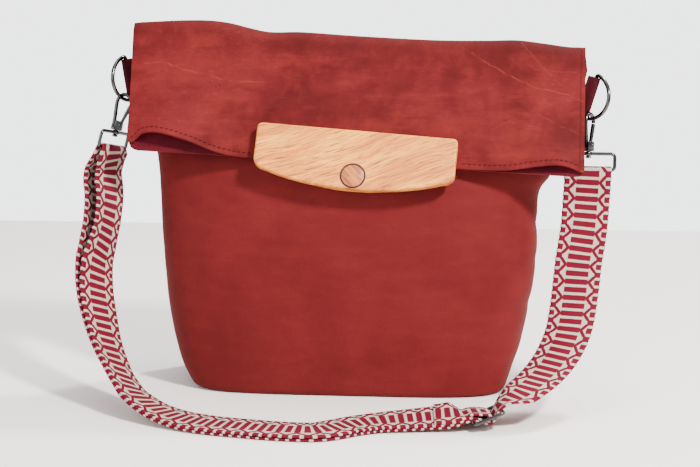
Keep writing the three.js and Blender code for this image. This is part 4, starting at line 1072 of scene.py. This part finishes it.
def hook_shape():
    bm = bmesh.new()
    wire(bm, through([(u * HOOK_RISE, 0, h * HOOK_RISE) for u, h in HOOK_LINE], 6), HOOK_WIRE, False)
    half_w, half_h, half_d = BLOCK_WIDTH / 2, BLOCK_HEIGHT / 2, BLOCK_DEPTH / 2
    floor = PIVOT_H - SLOT_BELOW
    foot = floor - 1.5
    box(bm, (-half_w, -half_d, -half_h), (half_w, half_d, floor), BLOCK_EDGE)
    box(bm, (-half_w, -half_d, foot), (SLOT_BACK, half_d, half_h), BLOCK_EDGE)
    cheek = SLOT / 2 + GAP
    for inner, outer in ((-half_d, -cheek), (cheek, half_d)):
        box(bm, (-half_w + 1, inner, foot), (half_w - 0.3, outer, half_h - 0.4), CHEEK_EDGE)
    rivet = [(0, -0.2), (RIVET_RADIUS, -0.2), (RIVET_RADIUS, 0.2), (0.9, 0.5), (0, 0.62)]
    for side in (-1, 1):
        seat = Matrix.Translation((PIVOT_U, side * half_d, PIVOT_H))
        join(bm, turned(rivet, 20, seat @ Matrix.Rotation(-side * pi / 2, 4, "X")))
    pin = [(0, -half_d), (PIVOT_RADIUS, -half_d), (PIVOT_RADIUS, half_d), (0, half_d)]
    join(bm, turned(pin, 16, Matrix.Translation((PIVOT_U, 0, PIVOT_H)) @ Matrix.Rotation(pi / 2, 4, "X")))
    low = STUD_TOP - STUD_LENGTH
    head = [(0, low), (1.5, low + 0.12), (2.4, low + 0.6), (STUD_HEAD, low + 1.25), (2.3, low + 1.9)]
    shank = [(STUD_RADIUS, low + STUD_HEAD_HEIGHT), (STUD_RADIUS, STUD_TOP), (0, STUD_TOP)]
    join(bm, turned(head + shank, 28))
    return bm


for it in SIDES:
    hang = radians(it["hang"])
    grip = it["bar_middle"] + it["ring_out"] * RING_REACH * cos(hang)
    grip += it["bar_up"] * (RING_INNER / 2 + RING_WIRE) * sin(hang)
    up = it["up"] = it["hook_up"].normalized()
    turn = radians(it["gate_turn"])
    towards = square_to(Vector((cos(turn), sin(turn), 0)), up)
    block_at = it["block_at"] = grip - towards * HANG_U - up * HANG_H
    place = it["hook_place"] = frame_of(block_at, towards, up.cross(towards), up)
    name = it["name"]
    finished(f"snap_hook_{name}", hook_shape(), [gunmetal], "bag", f"hook_{name}", place)

# Hook levers
# A stamped lever closes each hook's bow from inside. Its eye turns on the pin and a small spring
# holds its tip against the nose.
LEVER_WIDTH = 3.2
LEVER_EYE = 1.9
LEVER_EDGE = 0.4
LEVER_TIP = 0.7


def lever_shape():
    """Half a round eye at the root, a slight waist and a rounded tip, drawn out to the slot's width."""
    nose_u, nose_h = HOOK_LINE[-1]
    tip = Vector((nose_u * HOOK_RISE - 0.2, 0, nose_h * HOOK_RISE - 2 * GAP))
    root = Vector((PIVOT_U, 0, PIVOT_H))
    length = (tip - root).length
    along = (tip - root).normalized()
    side = Vector((along.z, 0, -along.x))
    half = LEVER_WIDTH / 2
    eye = [(LEVER_EYE * sin(a), -LEVER_EYE * cos(a)) for a in (pi + pi * k / 12 for k in range(13))]
    edge = [(4, half * 0.8), (length * 0.6, half), (length - LEVER_TIP, half), (length - 0.1, half * 0.5)]
    outline = eye + [(s, -w) for s, w in edge] + [(length, 0)] + edge[::-1]
    depth = Vector((0, SLOT, 0))
    corners = [root + along * s + side * w - depth / 2 for s, w in outline]
    return drawn_out(corners, depth, 50, LEVER_EDGE, 3)


for it in SIDES:
    name = it["name"]
    finished(
        f"hook_lever_{name}", lever_shape(), [gunmetal], f"lever_{name}", f"gate_{name}",
        it["hook_place"],
    )

# End loops and slider
# Rounded frames of the same wire. The loops' upper bars carry the eye that turns on the hook's stud;
# the slider's middle bar holds the strap's sewn end.
LOOP_HEIGHT = 14
LOOP_CORNER = 3.2
LOOP_SLACK = 1
FRAME_HALF = WEB_WIDTH / 2 + LOOP_SLACK + LOOP_WIRE
EYE_WALL = 1.4
SLIDER_HALF = 12.5
SLIDER_CORNER = 3
SLIDER_TILT, SLIDER_TURN, SLIDER_ROLL = radians(22), radians(10), radians(8)
SLIDER_AT = Vector((0.64 * HALF_WIDTH, -0.775 * 180, 0.0307 * STAND_HEIGHT))


def rounded_frame(half_x, low, high, corner):
    """Points of a rectangle with round corners in the XZ plane."""
    centres = ((half_x, high, 0), (-half_x, high, 90), (-half_x, low, 180), (half_x, low, 270))
    line = []
    for x, z, start in centres:
        cx = x - corner if x > 0 else x + corner
        cz = z - corner if z == high else z + corner
        for k in range(9):
            a = radians(start + 90 * k / 8)
            line.append(Vector((cx + corner * cos(a), 0, cz + corner * sin(a))))
    return line


def eye_shape():
    """The turned collar on a loop's upper bar that the hook's stud runs through."""
    inner, half = STUD_RADIUS + GAP, EYE_HEIGHT / 2
    outer = inner + EYE_WALL
    lower = [(inner, -half + 0.3), (inner + 0.3, -half), (outer - 0.5, -half), (outer, -half + 0.5)]
    return turned(lower + [(r, -z) for r, z in reversed(lower)], 28, closed=True)


for it in SIDES:
    loop = bmesh.new()
    wire(loop, rounded_frame(FRAME_HALF, -LOOP_HEIGHT, 0, LOOP_CORNER), LOOP_WIRE, True)
    join(loop, eye_shape())
    along = square_to(it["loop_along"].normalized(), it["up"])
    loop_at = it["block_at"] + it["up"] * (EYE_TOP - EYE_HEIGHT / 2)
    place = frame_of(loop_at, along, it["up"].cross(along), it["up"])
    finished(f"strap_loop_{it['name']}", loop, [gunmetal], "bag", f"loop_{it['name']}", place)

slider_level = Vector((cos(SLIDER_TURN), sin(SLIDER_TURN), 0))
slider_along = slider_level * cos(SLIDER_TILT) + Vector((0, 0, sin(SLIDER_TILT)))
slider_near = Vector((sin(SLIDER_TURN), -cos(SLIDER_TURN), 0))
slider_near = Matrix.Rotation(-SLIDER_ROLL, 3, slider_along) @ slider_near
slider_place = frame_of(SLIDER_AT, slider_along, slider_near.cross(slider_along), slider_near)
slider = bmesh.new()
wire(slider, rounded_frame(SLIDER_HALF, -FRAME_HALF, FRAME_HALF, SLIDER_CORNER), LOOP_WIRE, True)
middle_bar = [Vector((0, 0, mix(-FRAME_HALF, FRAME_HALF, k / 8))) for k in range(9)]
wire(slider, middle_bar, LOOP_WIRE * 0.98, False)
finished("strap_slider", slider, [gunmetal], "bag", "slider", slider_place)

# Closure plate
# A rounded board of oak with a straight top and a bowed lower edge, its long edges softened, with a
# finger scoop on each side behind the lower edge. Oiled, with the grain running up to the right.
PLATE_WIDTH = 170
PLATE_SIDE = 38
PLATE_MIDDLE = 55
PLATE_THICKNESS = 11
PLATE_CORNER = 5
PLATE_EDGE = 1.8
PLATE_DROP = 82
PLATE_ROLL = radians(1.6)
PLATE_CENTRE = 11
SCOOP_DEPTH = 5.5
SCOOP_HEIGHT = 16
BOSS_WIDTH = 34
PLUG_RADIUS = 10
PLUG_DROP = 40
PLUG_DEPTH = 4
OAK_PALE = (0.86, 0.35, 0.035)
OAK_TAN = (0.66, 0.19, 0.016)
OAK_DARK = (0.3, 0.05, 0.005)
# Painted shade for the gap round the plug
GAP_SHADE = (0.03, 0.006, 0.002)
OAK_GRAIN_TURN = radians(-24)
OAK_RINGS = 260

plate_axis = fold_axis((PLATE_CENTRE - TOP_SHIFT) / HALF_WIDTH, 0)
fold_along = Vector((1, 0, -tan(FOLD_DROP))).normalized()
plate_out = flap_down.cross(fold_along).normalized()
plate_right = Matrix.Rotation(-PLATE_ROLL, 3, plate_out) @ fold_along
plate_top = plate_axis + flap_down * PLATE_DROP + flap_face * (outer_ply(FLAP_LENGTH) + GAP)
plate_place = frame_of(plate_top, plate_right, plate_out.cross(plate_right), plate_out)


def curve_points(points, steps):
    """A quadratic or cubic curve through its control points, without the first point."""
    line = []
    for k in range(1, steps + 1):
        t = k / steps
        rest = list(points)
        while len(rest) > 1:
            rest = [(mix(a[0], b[0], t), mix(a[1], b[1], t)) for a, b in zip(rest, rest[1:])]
        line.append(rest[0])
    return line


def plate_outline():
    """A straight top, rounded corners, short sides and one long bow below, from the top left round."""
    half, r = PLATE_WIDTH / 2, PLATE_CORNER
    low = mix(-PLATE_SIDE, -PLATE_MIDDLE, 0.14)
    side, foot = -PLATE_SIDE + r * 1.4, half - 2.2 * r
    line = curve_points([(-half + r, 0), (-half, 0), (-half, -r)], 8)
    line += [(-half, -PLATE_SIDE / 2), (-half, side)]
    line += curve_points([(-half, side), (-half, -PLATE_SIDE), (-foot, low)], 8)
    bow = [(-foot, low), (-half * 0.45, -PLATE_MIDDLE), (half * 0.45, -PLATE_MIDDLE), (foot, low)]
    line += curve_points(bow, 40)
    line += curve_points([(foot, low), (half, -PLATE_SIDE), (half, side)], 8)
    line += [(half, -PLATE_SIDE / 2), (half, -r)]
    line += curve_points([(half, -r), (half, 0), (half - r, 0)], 8)
    # The last stretch runs straight along the top, back to the first point
    return [(-half + r, 0)] + line[:-1]


def keep_grain_place(obj, place):
    """Stores each vertex's place in the piece's own frame, in metres, for the grain to follow."""
    back = place.inverted()
    attribute = obj.data.attributes.new("grain_place", "FLOAT_VECTOR", "POINT")
    values = [part for v in obj.data.vertices for part in MM * (back @ (v.co / MM))]
    attribute.data.foreach_set("vector", values)


def cut(obj, cutters):
    """Cuts other shapes out of a piece for good."""
    for cutter in cutters:
        tool = bpy.data.objects.new("cutter", bpy.data.meshes.new("cutter"))
        cutter.transform(Matrix.Scale(MM, 4))
        cutter.to_mesh(tool.data)
        cutter.free()
        scene.collection.objects.link(tool)
        made = modifier(obj, "BOOLEAN", operation="DIFFERENCE", solver="EXACT", object=tool)
        bpy.context.view_layer.update()
        result = bpy.data.meshes.new_from_object(obj.evaluated_get(bpy.context.evaluated_depsgraph_get()))
        obj.modifiers.remove(made)
        obj.data = result
        bpy.data.objects.remove(tool)


def wood_material(name, pale, tan_colour, dark, turn, ring_scale, plug_at):
    """Oak: drawn-out growth rings, reddish streaks, short dark pores and a satin oil finish."""
    material, tree, shader = new_material(name)
    place = node(tree, "Attribute", attribute_name="grain_place").outputs["Vector"]
    sway = maths(tree, "MULTIPLY_ADD", grain(tree, place, 9, detail=2), 0.03, -0.015)
    bend = node(tree, "CombineXYZ", {1: sway}).outputs[0]
    bent = node(tree, "VectorMath", {0: place, 1: bend}, operation="ADD").outputs[0]
    along = node(tree, "Mapping", {"Vector": bent, "Rotation": (0, 0, turn)}).outputs[0]
    drawn = node(tree, "Mapping", {"Vector": along, "Scale": (0.075, 1, 1)}).outputs[0]
    rings = grain(tree, drawn, ring_scale, detail=4, rough=0.55, distortion=0.3)
    streaks = grain(tree, drawn, ring_scale * 3.2, detail=5, rough=0.65)
    broad = grain(tree, drawn, ring_scale * 0.28, detail=2)
    fine = node(tree, "Mapping", {"Vector": along, "Scale": (0.035, 1, 1)}).outputs[0]
    lines = soft_step(tree, grain(tree, fine, 1100, detail=4, rough=0.7), 0.53, 0.66)
    colour = blend_colour(tree, soft_step(tree, rings, 0.36, 0.62), pale, tan_colour)
    for mask, share, tint in (
        (soft_step(tree, streaks, 0.5, 0.64), 0.85, dark),
        (soft_step(tree, broad, 0.48, 0.66), 0.35, dark),
        (lines, 0.8, tuple(0.4 * c for c in dark)),
    ):
        colour = blend_colour(tree, times(tree, mask, share), colour, tint)

    # Painted shade: a dark line in the fine gap round the plug
    centre = (plug_at[0] * MM, plug_at[1] * MM, 0)
    away = node(tree, "VectorMath", {0: place, 1: centre}, operation="SUBTRACT").outputs[0]
    away = node(tree, "VectorMath", {0: away, 1: (1, 1, 0)}, operation="MULTIPLY").outputs[0]
    away = node(tree, "VectorMath", {0: away}, operation="LENGTH").outputs["Value"]
    off_ring = maths(tree, "ABSOLUTE", maths(tree, "SUBTRACT", away, (PLUG_RADIUS + GAP / 2) * MM))
    gap_shade = soft_step(tree, off_ring, 0.5 * MM, 1.15 * MM, invert=True)
    tree.links.new(blend_colour(tree, gap_shade, colour, GAP_SHADE), shader.inputs["Base Color"])
    tree.links.new(maths(tree, "MULTIPLY_ADD", streaks, 0.2, 0.34), shader.inputs["Roughness"])
    shader.inputs["Coat Weight"].default_value = 0.05
    shader.inputs["Coat Roughness"].default_value = 0.3
    relief(tree, shader, maths(tree, "SUBTRACT", times(tree, rings, 0.35), lines), 0.3, 0.25 * MM)
    return material


def scoop_shape(side):
    """A shallow hollow for a fingertip, in the back of the plate beside its middle boss."""
    reach = PLATE_WIDTH / 2 - BOSS_WIDTH / 2
    middle = (side * (BOSS_WIDTH / 2 + reach / 2), mix(-PLATE_SIDE, -PLATE_MIDDLE, 0.62), 0)
    stretch = Matrix.Diagonal((reach * 0.56, SCOOP_HEIGHT, SCOOP_DEPTH, 1))
    place = plate_place @ Matrix.Translation(middle) @ stretch
    bm = bmesh.new()
    bmesh.ops.create_uvsphere(bm, u_segments=64, v_segments=32, radius=1, matrix=place)
    return bm


def plug_seat():
    """The round recess in the plate's face that takes the plug."""
    radius = PLUG_RADIUS + GAP
    place = plate_place @ Matrix.Translation((0, -PLUG_DROP, PLATE_THICKNESS))
    bm = bmesh.new()
    bmesh.ops.create_cone(
        bm, cap_ends=True, segments=72, radius1=radius, radius2=radius, depth=2 * PLUG_DEPTH, matrix=place,
    )
    return bm


oak = wood_material("oak", OAK_PALE, OAK_TAN, OAK_DARK, OAK_GRAIN_TURN, OAK_RINGS, (0, -PLUG_DROP))
plate = drawn_out([(x, y, 0) for x, y in plate_outline()], (0, 0, PLATE_THICKNESS), 60, PLATE_EDGE, 5)
closure_plate = finished("oak_plate", plate, [oak], "bag", "closure_plate", plate_place)
cut(closure_plate, [scoop_shape(-1), scoop_shape(1), plug_seat()])
keep_grain_place(closure_plate, plate_place)
closure_plate.data.polygons.foreach_set("use_smooth", [True] * len(closure_plate.data.polygons))
modifier(closure_plate, "WEIGHTED_NORMAL", keep_sharp=False)

# Closure plug
# A turned end-grain button set in the plate, slightly domed, with a fine gap round it that is painted dark
# as shade.
PLUG_EDGE = 0.6
PLUG_DOME = 0.18
END_PALE = (0.55, 0.16, 0.022)
END_TAN = (0.38, 0.09, 0.012)
END_DARK = (0.15, 0.024, 0.004)
END_GRAIN_TURN = radians(35)
END_RINGS = 300

plug_oak = wood_material("plug_oak", END_PALE, END_TAN, END_DARK, END_GRAIN_TURN, END_RINGS, (0, 0))
plug = turned([
    (0, GAP), (PLUG_RADIUS, GAP), (PLUG_RADIUS, PLUG_DEPTH - PLUG_EDGE),
    (PLUG_RADIUS - 0.17, PLUG_DEPTH - 0.25), (PLUG_RADIUS - PLUG_EDGE, PLUG_DEPTH - 0.05),
    (PLUG_RADIUS * 0.5, PLUG_DEPTH + 0.12), (0, PLUG_DEPTH + PLUG_DOME),
], 64)
plug_place = plate_place @ Matrix.Translation((0, -PLUG_DROP, PLATE_THICKNESS - PLUG_DEPTH))
closure_plug = finished("oak_plug", plug, [plug_oak], "bag", "closure_plug", plug_place)
keep_grain_place(closure_plug, plug_place)

# Table and light
# A plain pale table, with nothing but the bright white of a light tent behind it. A small strong
# light stands at the upper right, a wide soft one at the left, one above, and one behind at the right.
TABLE_REACH = 4
TABLE_EDGE = 0.72
TABLE_PALE = (0.84, 0.79, 0.76)
TENT_WHITE = (0.96, 0.98, 1.0, 1)
TENT_LIGHT = 0.95
TENT_SEEN = 2.5


def table_material():
    material, tree, shader = new_material("table")
    clouds = grain(tree, node(tree, "TexCoord").outputs["Object"], 3)
    shade = blend_colour(tree, clouds, TABLE_PALE, tuple(0.97 * c for c in TABLE_PALE))
    tree.links.new(shade, shader.inputs["Base Color"])
    shader.inputs["Roughness"].default_value = 0.6
    return material


table_top = bmesh.new()
corners = [(x, y, 0) for x, y in (
    (-TABLE_REACH, -TABLE_REACH), (TABLE_REACH, -TABLE_REACH),
    (TABLE_REACH, TABLE_EDGE), (-TABLE_REACH, TABLE_EDGE),
)]
table_top.faces.new([table_top.verts.new(corner) for corner in corners])
table = bpy.data.objects.new("table", bpy.data.meshes.new("table"))
table_top.to_mesh(table.data)
table_top.free()
table.data.materials.append(table_material())
scene.collection.objects.link(table)


def area_light(name, place, aim, size, watts, colour):
    light = bpy.data.lights.new(name, "AREA")
    light.shape = "DISK"
    light.size = size
    light.energy = watts
    light.color = colour
    obj = bpy.data.objects.new(name, light)
    obj.location = place
    obj.rotation_euler = (Vector(aim) - Vector(place)).to_track_quat("-Z", "Y").to_euler()
    scene.collection.objects.link(obj)


area_light("key", (1.1, -1.2, 1.6), (0, 0, 0.12), 0.28, 118, (1.0, 0.96, 0.92))
area_light("fill", (-1.3, -1.5, 0.9), (0, 0, 0.15), 1.2, 22, (0.98, 0.99, 1.0))
area_light("top", (0.0, 0.1, 1.9), (0, 0, 0), 1.4, 18, (1.0, 1.0, 1.0))
area_light("window", (0.7, 0.8, 1.7), (0, -0.05, 0), 0.22, 48, (1.0, 0.97, 0.98))
world = scene.world = bpy.data.worlds.new("tent")
world.use_nodes = True
tent = world.node_tree.nodes["Background"]
tent.inputs[0].default_value = TENT_WHITE
seen = node(world.node_tree, "LightPath").outputs["Is Camera Ray"]
glow = maths(world.node_tree, "MULTIPLY_ADD", seen, TENT_SEEN, TENT_LIGHT)
world.node_tree.links.new(glow, tent.inputs[1])

bpy.context.view_layer.update()
